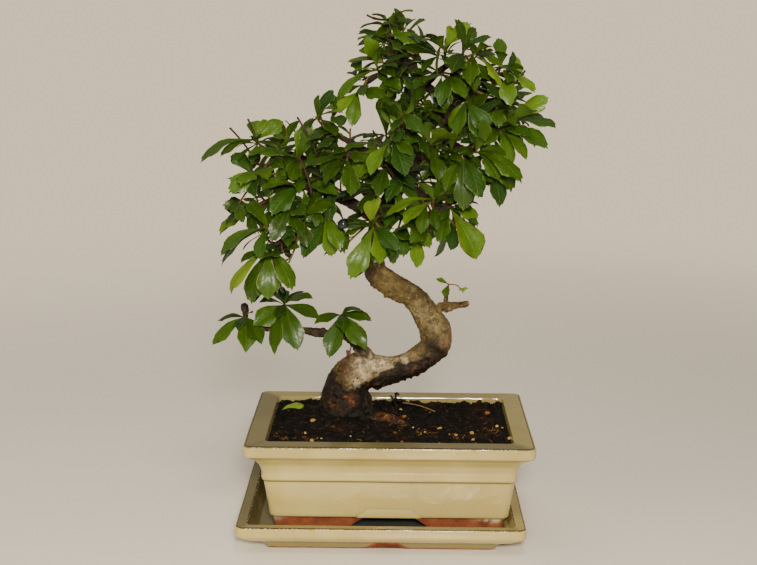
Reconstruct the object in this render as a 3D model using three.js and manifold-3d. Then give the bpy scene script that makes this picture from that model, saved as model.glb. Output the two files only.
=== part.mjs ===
// A fukien tea bonsai in a glazed pot on its saucer.
// Millimetres, +Z up. The origin is the middle of the saucer's underside, +X is to the right
// and -Y is the front of the tree.

import * as THREE from "three";
import { mergeVertices } from "three/addons/utils/BufferGeometryUtils.js";
import Module from "manifold-3d";

const wasm = await Module();
wasm.setup();

// Driving dimensions
const GAP = 0.3;                  // left between two pieces that touch
const POT_HALF = [125, 85];       // half length and half depth of the pot's rim
const POT_PLACE = [7, 2];         // middle of the pot, which stands a little off the saucer's middle
const SAUCER_HALF = [125, 92.5];  // half length and half depth of the saucer's rim
const SAUCER_FLOOR = 11;
const SAUCER_TOP = 25;
const FOOT_BOTTOM = SAUCER_FLOOR + GAP;
const GLAZE_BOTTOM = 24.3;        // below it the pot's foot is bare
const CREASE = 59;
const POT_TOP = 94;
const POT_FLOOR = 31;
const FOOT_CEILING = 24;          // underside of the pot's floor, between its feet
const DRAIN_RADIUS = 8;
const DRAIN_PLACE = 55;           // each side of the pot's middle
const MESH_HALF = 12;
const MESH_THICK = 1.2;
const SOIL_LEVEL = 88.2;
const MOUND_HEIGHT = 6.4;
const MOUND_SPREAD = 27;
const TRUNK_PLACE = [-34, 33];    // where the trunk enters the soil
const BLADE_THICK = 0.76;
const BLADE_FOLD = 0.3;           // rise of a leaf's edge over its midrib, per mm of half width
const STUB_LENGTH = 2.4;          // a side stub stands this far out of its limb
const STUB_RADIUS = 1.35;
const END_SWING = 1.9;            // how far a stem that turns off a limb's end moves out of its way
const STEM_RADIUS = 1.25;
const LEAF_STEP = 1.4;            // between one leaf's root and the next on a stem
const LEAF_ROOM = 2.2;            // kept between leaves of two shoots
const SIBLING_START = 9;          // leaves of one shoot may touch this close to their roots,
const SIBLING_ROOM = 1;           // and keep this apart further out
const WOOD_ROOM = 1.3;            // kept between a leaf and wood it doesn't grow from

// Profiles, from the underside up the outside, over the rim and down the inside.
// Each place is half length, half depth, height and corner radius.
const potRing = (inset, z, corner) => [POT_HALF[0] - inset, POT_HALF[1] - inset, z, corner];
const POT_PROFILE = [
  potRing(39, FOOT_CEILING, 4),
  potRing(38, FOOT_BOTTOM, 4),
  potRing(25.5, FOOT_BOTTOM, 5),
  potRing(23, GLAZE_BOTTOM - 0.7, 5.5),
  potRing(20.8, GLAZE_BOTTOM, 6),
  potRing(15.9, CREASE - 0.6, 6),
  potRing(14.2, CREASE + 0.6, 6.5),
  potRing(14.4, 67, 6.5),
  potRing(12.2, 74, 6.5),
  potRing(7.5, 80, 6.5),
  potRing(1.6, 83.2, 6.5),
  potRing(0, 84.6, 7),
  potRing(0, POT_TOP - 1.4, 7),
  potRing(0.9, POT_TOP, 6.5),
  potRing(17.2, POT_TOP, 5.5),
  potRing(17.9, POT_TOP - 0.7, 5),
  potRing(20.5, 75, 5),
  potRing(28, POT_FLOOR, 5),
];
const SAUCER_PROFILE = [
  [99.5, 73, 0, 6],
  [100.5, 74, 1.2, 6.5],
  [103.4, 76.6, 7, 7],
  [108, 80, 8.2, 7.5],
  [118, 86.5, 11.6, 7.5],
  [123.6, 91.1, 15, 7.5],
  [SAUCER_HALF[0], SAUCER_HALF[1], 16.6, 7.5],
  [SAUCER_HALF[0], SAUCER_HALF[1], SAUCER_TOP - 1.2, 7.5],
  [124, 91.5, SAUCER_TOP, 7],
  [115.8, 83.3, SAUCER_TOP, 5],
  [115, 82.5, SAUCER_TOP - 0.8, 5],
  [112, 79.6, 15.5, 5],
  [107.8, 75.5, SAUCER_FLOOR, 5],
];

// Limbs of the tree, each a route of places [x, y, z, radius] from its root to its end.
const LIMBS = {
  trunk: [
    [-34, 33, 63, 20], [-34, 33, 77, 23], [-34, 33, 92, 23.5], [-34, 33, 106, 22.3],
    [-30, 31, 122, 19.5], [-20, 30, 130, 17], [-5, 28, 130, 15.5], [8, 27, 132, 13],
    [23, 24, 138, 12.5], [35, 22, 146, 12.3], [46, 20, 157, 13.6], [48, 19, 170, 14.5],
    [43, 17, 182, 13.3], [34, 16, 195, 11.8], [24, 15, 205, 11.2], [11, 14, 212, 11.3],
    [1, 14, 219, 10.5], [-7, 14, 228, 10], [-9, 14, 245, 9], [-4, 14, 272, 8],
    [12, 13, 302, 7.5], [35, 12, 332, 6.5], [54, 11, 357, 5.5], [44, 12, 382, 4.5],
    [25, 13, 403, 3.6], [10, 14, 423, 2.8], [3, 14, 438, 1.6],
  ],
  surface_root: [[-30, 22, 84, 9], [-14, 16, 87, 8], [1, 13, 88, 7.5], [20, 4, 85, 5], [40, -4, 80, 3]],
  left: [
    [-3, 14, 272, 5.5], [-28, 8, 289, 5], [-51, 0, 300, 4.2], [-76, -8, 315, 3.2],
    [-105, -14, 341, 1.8],
  ],
  left_front: [[-47, 0, 298, 3.4], [-59, -22, 284, 3], [-75, -34, 270, 2.6], [-95, -40, 259, 1.6]],
  left_low: [[-70, -5, 310, 2.8], [-88, 14, 299, 2.4], [-106, 24, 286, 1.4]],
  left_back: [[2, 14, 283, 4.6], [-26, 42, 302, 4], [-57, 62, 316, 3], [-89, 72, 327, 1.6]],
  upper_left: [[16, 13, 308, 4], [-7, -14, 332, 3.4], [-31, -30, 348, 2.6], [-52, -34, 362, 1.4]],
  front: [[-3, 14, 266, 3], [-7, -22, 281, 2.4], [-8, -44, 281, 1.4]],
  fork: [[1, 14, 279, 4.2], [25, -10, 281, 3.6], [43, -28, 286, 2.8], [54, -38, 296, 1.5]],
  fork_back: [[18, 13, 306, 4], [36, 44, 291, 3.2], [57, 70, 284, 1.6]],
  right: [[54, 11, 356, 4.4], [72, -4, 362, 3.4], [88, -16, 365, 2.6], [102, -22, 363, 1.6]],
  right_front: [[48, 12, 347, 3.8], [61, -26, 344, 3], [73, -50, 342, 1.6]],
  right_top: [[49, 12, 375, 3.6], [67, -8, 388, 3], [84, -18, 399, 2.2], [98, -22, 405, 1.3]],
  right_back: [[52, 12, 366, 4], [78, 44, 374, 3.2], [106, 68, 378, 1.6]],
  top_right: [[34, 13, 393, 3.2], [52, -8, 410, 2.6], [70, -22, 419, 1.4]],
  top_left: [[18, 14, 410, 3], [1, -8, 405, 2.5], [-16, -22, 397, 1.3]],
  top_back: [[25, 13, 403, 3], [16, 40, 414, 2.4], [11, 58, 422, 1.3]],
  centre_front: [[31, 12, 327, 3.8], [22, -30, 349, 3], [15, -58, 367, 1.5]],
  centre_back: [[12, 13, 302, 4], [7, 48, 323, 3.2], [1, 80, 338, 1.6]],
  low_left: [
    [-15, 27, 142, 5.2], [-23, 19, 156, 4.6], [-35, 12, 168, 4.2], [-51, 8, 171, 3.8],
    [-72, 6, 174, 3.3], [-94, 4, 176, 2.9], [-108, 2, 177, 2.6], [-120, 0, 181, 2.4],
    [-123, 0, 194, 2.2],
  ],
  low_left_up: [[-91, 4, 176, 2.2], [-91, -4, 188, 1.8], [-88, -8, 197, 1.3]],
  low_left_tip: [[-108, 2, 177, 2.2], [-114, -4, 184, 1.8], [-120, -8, 187, 1.3]],
  low_mid: [[-39, 11, 169, 2.2], [-38, 4, 178, 1.7], [-38, -1, 186, 1.3]],
  right_stub: [[49, 17, 196, 3.4], [62, 10, 197, 2.8], [77, 4, 201, 2.4]],
  right_stub_up: [[56, 13, 197, 1.8], [56, 9, 206, 1.5], [58, 7, 213, 1.2]],
};

// Leafy shoots: the limb, the place along it from 0 to 1, the shoot's end, the leaves that are placed
// one by one as [x, y, z of the tip, how far the blade faces the front from 0 to 1], and the number
// of further leaves, which a rule spreads round the stem.
const SHOOTS = [
  ["left", 1, [-113, -18, 348], [[-156, -29, 330, 0.35], [-140, -37, 334, 0.4], [-87, -9, 363, 0.5],
    [-102, -3, 364, 0.45], [-84, -31, 350, 0.3]], 1],
  ["left", 0.82, [-73, -22, 332], [[-114, -44, 339, 0.3], [-61, -30, 359, 0.4]], 2],
  ["left", 0.92, [-104, -28, 321], [[-119, -56, 315, 0.4], [-130, -44, 306, 0.7]], 2],
  ["left_low", 1, [-115, 25, 281], [[-141, 8, 287, 0.8], [-146, 8, 262, 0.4]], 2],
  ["left", 0.66, [-69, -30, 308], [[-103, -46, 309, 0.35]], 3],
  ["left_front", 0.8, [-101, -46, 277], [[-137, -58, 255, 0.35], [-138, -46, 244, 0.3]], 2],
  ["left_front", 1, [-97, -50, 257], [[-96, -64, 218, 0.95], [-131, -52, 221, 0.35],
    [-75, -66, 228, 0.5], [-113, -58, 212, 0.6]], 1],
  ["left_front", 0.45, [-81, -42, 292], [[-93, -60, 267, 0.9], [-67, -62, 272, 0.8]], 2],
  ["left_front", 0.15, [-49, -38, 283], [[-68, -50, 251, 0.6], [-36, -56, 259, 0.6]], 2],
  ["upper_left", 1, [-57, -40, 369], [[-34, -52, 374, 0.4], [-39, -62, 356, 0.4]], 1],
  ["upper_left", 0.3, [-6, -34, 346], [[-32, -52, 343, 0.35], [10, -56, 332, 0.5]], 1],
  ["upper_left", 0.65, [-31, -52, 334], [[-65, -62, 331, 0.3], [-49, -70, 317, 0.45],
    [-26, -76, 309, 0.6]], 1],
  ["top_left", 1, [-23, -32, 388], [[-27, -50, 363, 0.75], [-38, -44, 373, 0.4]], 2],
  ["top_left", 0.6, [-8, -26, 408], [[-41, -34, 382, 0.35], [-25, -40, 408, 0.35]], 2],
  ["front", 1, [-9, -52, 277], [[-27, -66, 237, 0.95], [-2, -66, 250, 0.35], [12, -74, 263, 0.6]], 1],
  ["trunk", 1, [2, 12, 448], [[23, -6, 456, 0.35], [-11, -6, 454, 0.4], [14, -6, 429, 0.4]], 0],
  ["trunk", 0.975, [-2, -6, 434], [[30, -20, 431, 0.45], [-23, -20, 433, 0.35], [19, -26, 420, 0.4]], 0],
  ["top_left", 0.3, [-6, -10, 415], [[-16, -32, 434, 0.85], [-29, -26, 414, 0.3]], 2],
  ["top_left", 0.1, [13, -16, 402], [[33, -36, 416, 0.35], [29, -46, 390, 0.5], [1, -46, 385, 0.5]], 1],
  ["top_right", 0.5, [50, -12, 427], [[56, -32, 444, 0.5], [71, -22, 446, 0.55], [35, -34, 439, 0.4]], 1],
  ["top_right", 1, [76, -26, 422], [[86, -50, 429, 0.4], [97, -46, 412, 0.4], [70, -54, 398, 0.6]], 1],
  ["right_top", 1, [106, -26, 407], [[112, -48, 414, 0.35], [125, -40, 392, 0.45],
    [104, -46, 380, 0.4]], 1],
  ["top_right", 0.25, [53, -34, 403], [[46, -56, 380, 0.7], [66, -60, 388, 0.6], [32, -56, 399, 0.4]], 1],
  ["right_top", 0.4, [68, -38, 382], [[85, -56, 359, 0.6], [59, -60, 357, 0.5]], 2],
  ["right_top", 0.75, [96, 8, 388], [[104, 34, 372, 0.3], [120, 20, 384, 0.4]], 3],
  ["right", 1, [110, -29, 366], [[135, -38, 387, 0.5], [143, -42, 363, 0.4], [121, -58, 379, 0.3]], 1],
  ["right", 0.8, [98, -36, 357], [[118, -56, 337, 0.5], [136, -50, 346, 0.45],
    [103, -56, 329, 0.5]], 1],
  ["right_front", 1, [78, -56, 342], [[113, -66, 322, 0.4], [95, -78, 322, 0.5]], 2],
  ["right_front", 0.8, [65, -62, 338], [[66, -70, 296, 0.85], [50, -80, 314, 0.5],
    [78, -84, 310, 0.5]], 0],
  ["right", 0.5, [86, -34, 335], [[98, -44, 295, 0.5], [107, -54, 311, 0.4]], 2],
  ["centre_front", 1, [15, -64, 374], [[29, -92, 363, 0.8], [0, -88, 388, 0.5], [22, -84, 396, 0.5]], 0],
  ["centre_front", 0.7, [5, -62, 351], [[-11, -80, 326, 0.5], [18, -84, 326, 0.6]], 1],
  ["centre_front", 0.3, [40, -42, 347], [[46, -62, 320, 0.6], [29, -70, 368, 0.5],
    [54, -68, 363, 0.4]], 1],
  ["fork", 0.66, [42, -46, 302], [[2, -58, 290, 0.4], [54, -72, 324, 0.4], [28, -72, 321, 0.5]], 1],
  ["fork", 1, [56, -44, 293], [[79, -54, 252, 0.55], [79, -58, 281, 0.4], [47, -62, 267, 0.5]], 1],
  ["fork", 0.4, [20, -24, 275], [[17, -46, 253, 0.7], [40, -42, 260, 0.45], [1, -44, 252, 0.5],
    [30, -24, 238, 0.4]], 0],
  ["low_left_tip", 1, [-122, -9, 190], [[-151, -18, 167, 0.55], [-105, -32, 171, 0.6],
    [-119, -26, 163, 0.5]], 0],
  ["low_left_up", 1, [-87, -9, 202], [[-74, -28, 165, 0.8], [-54, -18, 191, 0.45],
    [-61, -28, 212, 0.4], [-95, -20, 161, 0.3], [-113, -26, 186, 0.8]], 1],
  ["low_mid", 1, [-37, -2, 191], [[-47, -22, 157, 0.75], [-60, -24, 187, 0.5], [-10, -12, 189, 0.45],
    [-14, -22, 165, 0.8]], 0],
  ["right_stub_up", 1, [58, 7, 218], [[47, 4, 223, 0.5], [54, -2, 208, 0.5], [71, 2, 216, 0.4]], 0],
  ["left_back", 1, [-93, 76, 330], [], 5],
  ["left_back", 0.7, [-73, 84, 327], [], 5],
  ["left_back", 0.4, [-44, 34, 322], [], 5],
  ["left_low", 0.5, [-94, 44, 292], [], 5],
  ["fork_back", 1, [61, 76, 281], [], 5],
  ["fork_back", 0.5, [50, 40, 280], [], 5],
  ["right_back", 1, [112, 74, 378], [], 5],
  ["right_back", 0.6, [87, 72, 358], [], 5],
  ["top_back", 1, [11, 64, 426], [], 5],
  ["centre_back", 1, [1, 86, 343], [], 4],
  ["centre_back", 0.5, [24, 52, 326], [], 5],
];

// A leaf's outline, from the root round the right edge to the tip and back up the left edge, and a
// place on its midrib. Across is -1 to 1, along is 0 to 1. The notches cut three blunt teeth.
const LEAF_PLACES = [
  [0, 0], [0.56, 0.42], [0.98, 0.78], [0.55, 0.84], [0, 1],
  [-0.55, 0.84], [-0.98, 0.78], [-0.56, 0.42], [0, 0.6],
];
const BLADE_MIDDLE = 0.55;
const LEAF_RIM = [0, 1, 2, 3, 4, 5, 6, 7];
const LEAF_HEART = 8;
const LEAF_FACES = LEAF_RIM.map((a) => [a, (a + 1) % 8, LEAF_HEART]);
const LEAF_EDGES = [...LEAF_RIM.map((a) => [a, (a + 1) % 8]), [0, LEAF_HEART], [LEAF_HEART, 4]];
const SAMPLE_STEP = 3;

const paint = (color, roughness) => new THREE.MeshStandardMaterial({ color, roughness, metalness: 0 });
const GLAZE = paint(0xd2c38c, 0.2);
const BARK = paint(0x8d7657, 0.8);
const FOLIAGE = paint(0x3f7a1e, 0.35);
const FALLEN_GREEN = paint(0x5a9a22, 0.45);
const DRY_TWIG = paint(0x9c7a50, 0.8);
const SOIL = paint(0x2a211a, 0.95);
const PLASTIC = paint(0x1c1c1c, 0.6);

const part = new THREE.Group();

function addMesh(name, geometry, material) {
  const mesh = new THREE.Mesh(geometry, material);
  mesh.name = name;
  part.add(mesh);
}

// A closed three.js geometry as a solid, and a solid as a three.js geometry.
function solidOf(geometry) {
  const bare = geometry.clone();
  bare.deleteAttribute("normal");
  bare.deleteAttribute("uv");
  const merged = mergeVertices(bare, 1e-4);
  return new wasm.Manifold(new wasm.Mesh({
    numProp: 3,
    vertProperties: new Float32Array(merged.attributes.position.array),
    triVerts: new Uint32Array(merged.index.array),
  }));
}

function geometryOf(solid) {
  const mesh = solid.simplify(0.01).getMesh();
  const geometry = new THREE.BufferGeometry();
  geometry.setAttribute("position", new THREE.BufferAttribute(mesh.vertProperties, 3));
  geometry.setIndex(new THREE.BufferAttribute(mesh.triVerts, 1));
  return geometry;
}

const joined = (solids) => solids.reduce((whole, next) => whole.add(next));

// A cylinder whose points are carried to place(side, level, isMiddle), so it becomes any closed skin
// of rings. Level 0 is its bottom, and isMiddle is true for the two cap middles.
function skin(sides, levels, place) {
  const geometry = new THREE.CylinderGeometry(1, 1, 1, sides, levels);
  const spots = geometry.attributes.position;
  for (let i = 0; i < spots.count; i++) {
    const [x, y, z] = [spots.getX(i), spots.getY(i), spots.getZ(i)];
    const level = Math.round((y + 0.5) * levels);
    const turn = Math.atan2(x, z) / (2 * Math.PI);
    const side = (Math.round(turn * sides) + sides) % sides;
    spots.setXYZ(i, ...place(side, level, Math.hypot(x, z) < 0.5));
  }
  return geometry;
}

// Rounded rectangle rings stacked along a profile. The first and the last ring are closed flat.
const CORNER_STEPS = 2;

function ringPoint(side, [halfX, halfY, z, corner], [middleX, middleY]) {
  const quarter = Math.floor(side / (CORNER_STEPS + 1));
  const angle = (Math.PI / 2) * (quarter + (side % (CORNER_STEPS + 1)) / CORNER_STEPS);
  const signX = quarter === 0 || quarter === 3 ? 1 : -1;
  const signY = quarter < 2 ? 1 : -1;
  return [
    middleX + signX * (halfX - corner) + corner * Math.cos(angle),
    middleY + signY * (halfY - corner) + corner * Math.sin(angle),
    z,
  ];
}

function stackedRings(profile, middle) {
  return skin(4 * (CORNER_STEPS + 1), profile.length - 1, (side, level, isMiddle) => (
    isMiddle ? [...middle, profile[level][2]] : ringPoint(side, profile[level], middle)
  ));
}

// A prism standing on an outline in the XZ plane, from y0 back to y1.
function prismAlongY(outline, y0, y1) {
  const shape = new THREE.Shape(outline.map(([x, z]) => new THREE.Vector2(x, z)));
  const geometry = new THREE.ExtrudeGeometry(shape, { depth: y1 - y0, bevelEnabled: false });
  geometry.rotateX(Math.PI / 2);
  geometry.translate(0, y1, 0);
  return geometry;
}

function box(x0, x1, y0, y1, z0, z1) {
  const geometry = new THREE.BoxGeometry(x1 - x0, y1 - y0, z1 - z0);
  geometry.translate((x0 + x1) / 2, (y0 + y1) / 2, (z0 + z1) / 2);
  return geometry;
}

const drainPlaces = [-1, 1].map((sign) => [POT_PLACE[0] + sign * DRAIN_PLACE, POT_PLACE[1]]);

function makeSaucer() {
  // A shallow arch in the front of the base, as in the pot's foot.
  const archLow = 15;
  const archTop = 9;
  const archHeight = 5;
  const archPlace = 5;
  const notch = prismAlongY([
    [archPlace - archLow, -1], [archPlace + archLow, -1],
    [archPlace + archTop, archHeight], [archPlace - archTop, archHeight],
  ], -SAUCER_HALF[1], -72);
  const saucer = solidOf(stackedRings(SAUCER_PROFILE, [0, 0])).subtract(solidOf(notch));
  addMesh("saucer", geometryOf(saucer), GLAZE);
}

function makePot() {
  const [x, y] = POT_PLACE;
  const archTop = FOOT_CEILING - 0.1;
  const archBase = FOOT_BOTTOM - 1;
  const longArch = prismAlongY(
    [[x - 39.5, archBase], [x + 39.5, archBase], [x + 21, archTop], [x - 21, archTop]],
    y - POT_HALF[1], y + POT_HALF[1],
  );
  const shortArch = prismAlongY(
    [[-27, archBase], [27, archBase], [13, archTop], [-13, archTop]],
    -POT_HALF[0], POT_HALF[0],
  );
  shortArch.rotateZ(Math.PI / 2);
  shortArch.translate(x, y, 0);
  let pot = solidOf(stackedRings(POT_PROFILE, POT_PLACE))
    .subtract(solidOf(longArch))
    .subtract(solidOf(shortArch));
  // The low band over the arch stands proud of the front and the back.
  const bandFace = POT_HALF[1] - 18.7;
  const bandRoot = POT_HALF[1] - 24;
  const bandOutline = [
    [x - 28.5, GLAZE_BOTTOM + 0.1], [x + 28.5, GLAZE_BOTTOM + 0.1],
    [x + 20, GLAZE_BOTTOM + 8.1], [x - 20, GLAZE_BOTTOM + 8.1],
  ];
  pot = pot
    .add(solidOf(prismAlongY(bandOutline, y - bandFace, y - bandRoot)))
    .add(solidOf(prismAlongY(bandOutline, y + bandRoot, y + bandFace)));
  for (const [drainX, drainY] of drainPlaces) {
    const drain = new THREE.CylinderGeometry(DRAIN_RADIUS, DRAIN_RADIUS, 20, 16);
    drain.rotateX(Math.PI / 2);
    drain.translate(drainX, drainY, POT_FLOOR - 3);
    pot = pot.subtract(solidOf(drain));
  }
  addMesh("pot", geometryOf(pot), GLAZE);
}

function makeDrainMeshes() {
  const holeHalf = 3.4;
  const holePlaces = [-5, 5];
  const base = POT_FLOOR + GAP;
  drainPlaces.forEach(([x, y], index) => {
    let sheet = solidOf(box(x - MESH_HALF, x + MESH_HALF, y - MESH_HALF, y + MESH_HALF,
      base, base + MESH_THICK));
    for (const dx of holePlaces) {
      for (const dy of holePlaces) {
        sheet = sheet.subtract(solidOf(box(x + dx - holeHalf, x + dx + holeHalf,
          y + dy - holeHalf, y + dy + holeHalf, base - 1, base + MESH_THICK + 1)));
      }
    }
    addMesh(index === 0 ? "drainage_mesh_left" : "drainage_mesh_right", geometryOf(sheet), PLASTIC);
  });
}

// Height of the soil: level, with a mound round the trunk and low lumps.
function soilHeight(x, y) {
  const fromTrunk = Math.hypot(x - TRUNK_PLACE[0], y - TRUNK_PLACE[1]);
  const mound = MOUND_HEIGHT * Math.exp(-((fromTrunk / MOUND_SPREAD) ** 2) / 2);
  const lumps = 0.5 * Math.sin(x / 5.3 + 1) * Math.sin(y / 6.1 + 2) + 0.3 * Math.sin(x / 11 - y / 9);
  return SOIL_LEVEL + mound + lumps;
}

function makeSoil(wood) {
  const inner = POT_PROFILE.slice(-3).reverse();
  const fitted = inner.map(([halfX, halfY, z, corner]) => [halfX - GAP - 0.05, halfY - GAP - 0.05, z,
    corner - GAP - 0.05]);
  fitted[0][2] += GAP;
  const top = fitted[fitted.length - 1];
  fitted.push([top[0], top[1], POT_TOP + 10, top[3]]);
  const cells = [15, 9];
  const slab = new THREE.BoxGeometry(2 * POT_HALF[0], 2 * POT_HALF[1], 1, cells[0], cells[1]);
  const spots = slab.attributes.position;
  for (let i = 0; i < spots.count; i++) {
    const x = spots.getX(i) + POT_PLACE[0];
    const y = spots.getY(i) + POT_PLACE[1];
    spots.setXYZ(i, x, y, spots.getZ(i) > 0 ? soilHeight(x, y) : 20);
  }
  let soil = solidOf(stackedRings(fitted, POT_PLACE)).intersect(solidOf(slab));
  for (const hole of wood) soil = soil.subtract(hole);
  for (const [x, y] of drainPlaces) {
    const half = MESH_HALF + GAP;
    soil = soil.subtract(solidOf(box(x - half, x + half, y - half, y + half,
      20, POT_FLOOR + 2 * GAP + MESH_THICK)));
  }
  addMesh("soil", geometryOf(soil), SOIL);
}

// The place and radius at t along a limb, on a smooth curve through its places.
function limbCurves(route) {
  const places = route.map(([x, y, z]) => new THREE.Vector3(x, y, z));
  const radii = route.map(([, , , radius]) => new THREE.Vector3(radius, 0, 0));
  return {
    path: new THREE.CatmullRomCurve3(places, false, "catmullrom", 0.5),
    girth: new THREE.CatmullRomCurve3(radii, false, "catmullrom", 0.5),
  };
}

// The axis that a direction leans to least.
function leastAxis(direction) {
  const sizes = direction.toArray().map(Math.abs);
  const least = sizes.indexOf(Math.min(...sizes));
  return new THREE.Vector3().setComponent(least, 1);
}

// A limb: rings round its curve. Knots swell and pinch it by the share given. Grow makes it that much
// larger on every side, its two ends too.
function limb(route, sides, steps, knots, grow = 0) {
  const { path, girth } = limbCurves(route);
  const chord = path.getPoint(1).sub(path.getPoint(0)).normalize();
  const reference = leastAxis(chord);
  const endPush = { 0: -grow, [steps]: grow };
  return skin(sides, steps, (side, level, isMiddle) => {
    const t = level / steps;
    const tangent = path.getTangent(t);
    const middle = path.getPoint(t).addScaledVector(tangent, endPush[level] ?? 0);
    if (isMiddle) return middle.toArray();
    const first = reference.clone().addScaledVector(tangent, -reference.dot(tangent)).normalize();
    const second = tangent.clone().cross(first);
    const angle = (2 * Math.PI * side) / sides;
    const bark = 1 + knots * (Math.sin(3 * angle + 21 * t) + 0.6 * Math.sin(2 * angle - 34 * t));
    const radius = girth.getPoint(t).x * bark + grow;
    return middle
      .addScaledVector(first, radius * Math.cos(angle))
      .addScaledVector(second, radius * Math.sin(angle))
      .toArray();
  });
}

// Sides, steps and knots. The other limbs get a step a span, and two where they are thick.
const TRUNK_SHAPE = [9, 42, 0.05];
const ROOT_SHAPE = [7, 6, 0.06];
const LIMB_SIDES = 6;
const LIMB_KNOTS = 0.04;
const THICK_LIMB = 5.3;

// A straight tapered stem of four sides.
function stemSolid(from, to, startRadius, endRadius) {
  const axis = to.clone().sub(from);
  const geometry = new THREE.CylinderGeometry(endRadius, startRadius, axis.length(), 4, 1);
  geometry.translate(0, axis.length() / 2, 0);
  geometry.applyQuaternion(new THREE.Quaternion().setFromUnitVectors(
    new THREE.Vector3(0, 1, 0), axis.clone().normalize(),
  ));
  geometry.translate(from.x, from.y, from.z);
  return solidOf(geometry);
}

// Where each shoot's stem runs. On the side of a limb a short stub of the limb carries it.
function stemLine([limbName, t, end]) {
  const { path, girth } = limbCurves(LIMBS[limbName]);
  const root = path.getPoint(t);
  const tip = new THREE.Vector3(...end);
  const direction = tip.clone().sub(root).normalize();
  const onSide = t < 1;
  const slant = path.getTangent(t).cross(direction).length();
  const reach = onSide ? (girth.getPoint(t).x + STUB_LENGTH) / Math.max(slant, 0.5) : END_SWING * slant;
  const stubEnd = root.clone().addScaledVector(direction, reach);
  const start = stubEnd.clone().addScaledVector(direction, GAP);
  return { root, tip, direction, onSide, stubEnd, start, length: start.distanceTo(tip) };
}

// A draw from 0 to 1 that depends only on its three whole numbers.
function draw(a, b, c) {
  let h = Math.imul(a + 1, 374761393) ^ Math.imul(b + 1, 668265263) ^ Math.imul(c + 1, 362437);
  h = Math.imul(h ^ (h >>> 13), 1274126177);
  h = Math.imul(h ^ (h >>> 15), 1103515245);
  return ((h ^ (h >>> 16)) >>> 0) / 4294967296;
}

// A leaf blade: flat across and along, raised along its middle by its arch and at its edges by its
// fold. Facing is the side that its upper face turns to.
function blade(root, tip, facing, slimness, arch) {
  const along = tip.clone().sub(root);
  const length = along.length();
  along.normalize();
  const normal = facing.clone().addScaledVector(along, -facing.dot(along)).normalize();
  const across = along.clone().cross(normal);
  const halfWidth = (slimness * length) / 2;
  const places = LEAF_PLACES.map(([u, v]) => root.clone()
    .addScaledVector(along, length * v)
    .addScaledVector(across, halfWidth * u)
    .addScaledVector(normal, arch * length * 4 * v * (1 - v) + BLADE_FOLD * halfWidth * Math.abs(u)));
  const faces = LEAF_FACES.map((corners) => corners.map((corner) => places[corner]));
  const samples = LEAF_EDGES.flatMap(([a, b]) => {
    const count = Math.ceil(places[a].distanceTo(places[b]) / SAMPLE_STEP);
    return Array.from({ length: count }, (_, k) => places[a].clone().lerp(places[b], (k + 0.5) / count));
  });
  const centre = root.clone().lerp(tip, BLADE_MIDDLE);
  const reach = Math.max(...places.map((place) => place.distanceTo(centre)));
  return { places, faces, samples, centre, reach, normal };
}

// Shortest distance from a point to a triangle.
function distanceToFace(point, [a, b, c]) {
  const triangle = new THREE.Triangle(a, b, c);
  return triangle.closestPointToPoint(point, new THREE.Vector3()).distanceTo(point);
}

const near = (points, faces, room) => points.some((point) => (
  faces.some((face) => distanceToFace(point, face) < room)
));

// Wood as beads along its line, each a place with a radius.
function beads(route, count) {
  const { path, girth } = limbCurves(route);
  return Array.from({ length: count + 1 }, (_, k) => ({
    place: path.getPoint(k / count),
    radius: girth.getPoint(k / count).x,
  }));
}

function stemBeads(from, to) {
  const count = Math.ceil(from.distanceTo(to) / 2);
  return Array.from({ length: count + 1 }, (_, k) => ({
    place: from.clone().lerp(to, k / count),
    radius: STEM_RADIUS,
  }));
}

// True where a blade stays clear of every limb, of the other shoots' stems and of their blades.
function isClear(leaf, owner, wood, blades) {
  const woodClear = wood.every((bead) => {
    if (bead.owner === owner) return true;
    const room = bead.radius + WOOD_ROOM;
    if (bead.place.distanceTo(leaf.centre) > leaf.reach + room) return true;
    return leaf.faces.every((face) => distanceToFace(bead.place, face) >= room);
  });
  const outer = leaf.samples.filter((sample) => sample.distanceTo(leaf.places[0]) > SIBLING_START);
  return woodClear && blades.every((other) => {
    if (other.owner === owner) return !near(outer, other.faces, SIBLING_ROOM);
    if (other.centre.distanceTo(leaf.centre) > leaf.reach + other.reach + LEAF_ROOM) return true;
    return !near(leaf.samples, other.faces, LEAF_ROOM) && !near(other.samples, leaf.faces, LEAF_ROOM);
  });
}

// The blade of a leaf that is placed one by one, moved in depth on each further try.
const DEPTH_TRIES = [0, -5, 5, -10, 10, -15, 15, -20, 20, 26];

function placedBlade(line, shoot, rank, tries) {
  const [x, y, z, front] = SHOOTS[shoot][3][rank];
  const root = rootPlace(line, rank);
  const tip = new THREE.Vector3(x, y + DEPTH_TRIES[tries], z);
  const outward = Math.sign(x - line.tip.x) * 0.5 * (1 - front);
  const facing = new THREE.Vector3(outward, -front, 1 - front + 0.05);
  const slimness = 0.4 + 0.14 * draw(shoot, rank, 50);
  return blade(root, tip, facing, slimness, 0.05 + 0.07 * draw(shoot, rank, 51));
}

// The blade of a further leaf: they turn round the stem by the golden angle, and each further try
// turns and tilts it anew.
const GOLDEN_TURN = 2.39996;

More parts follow.
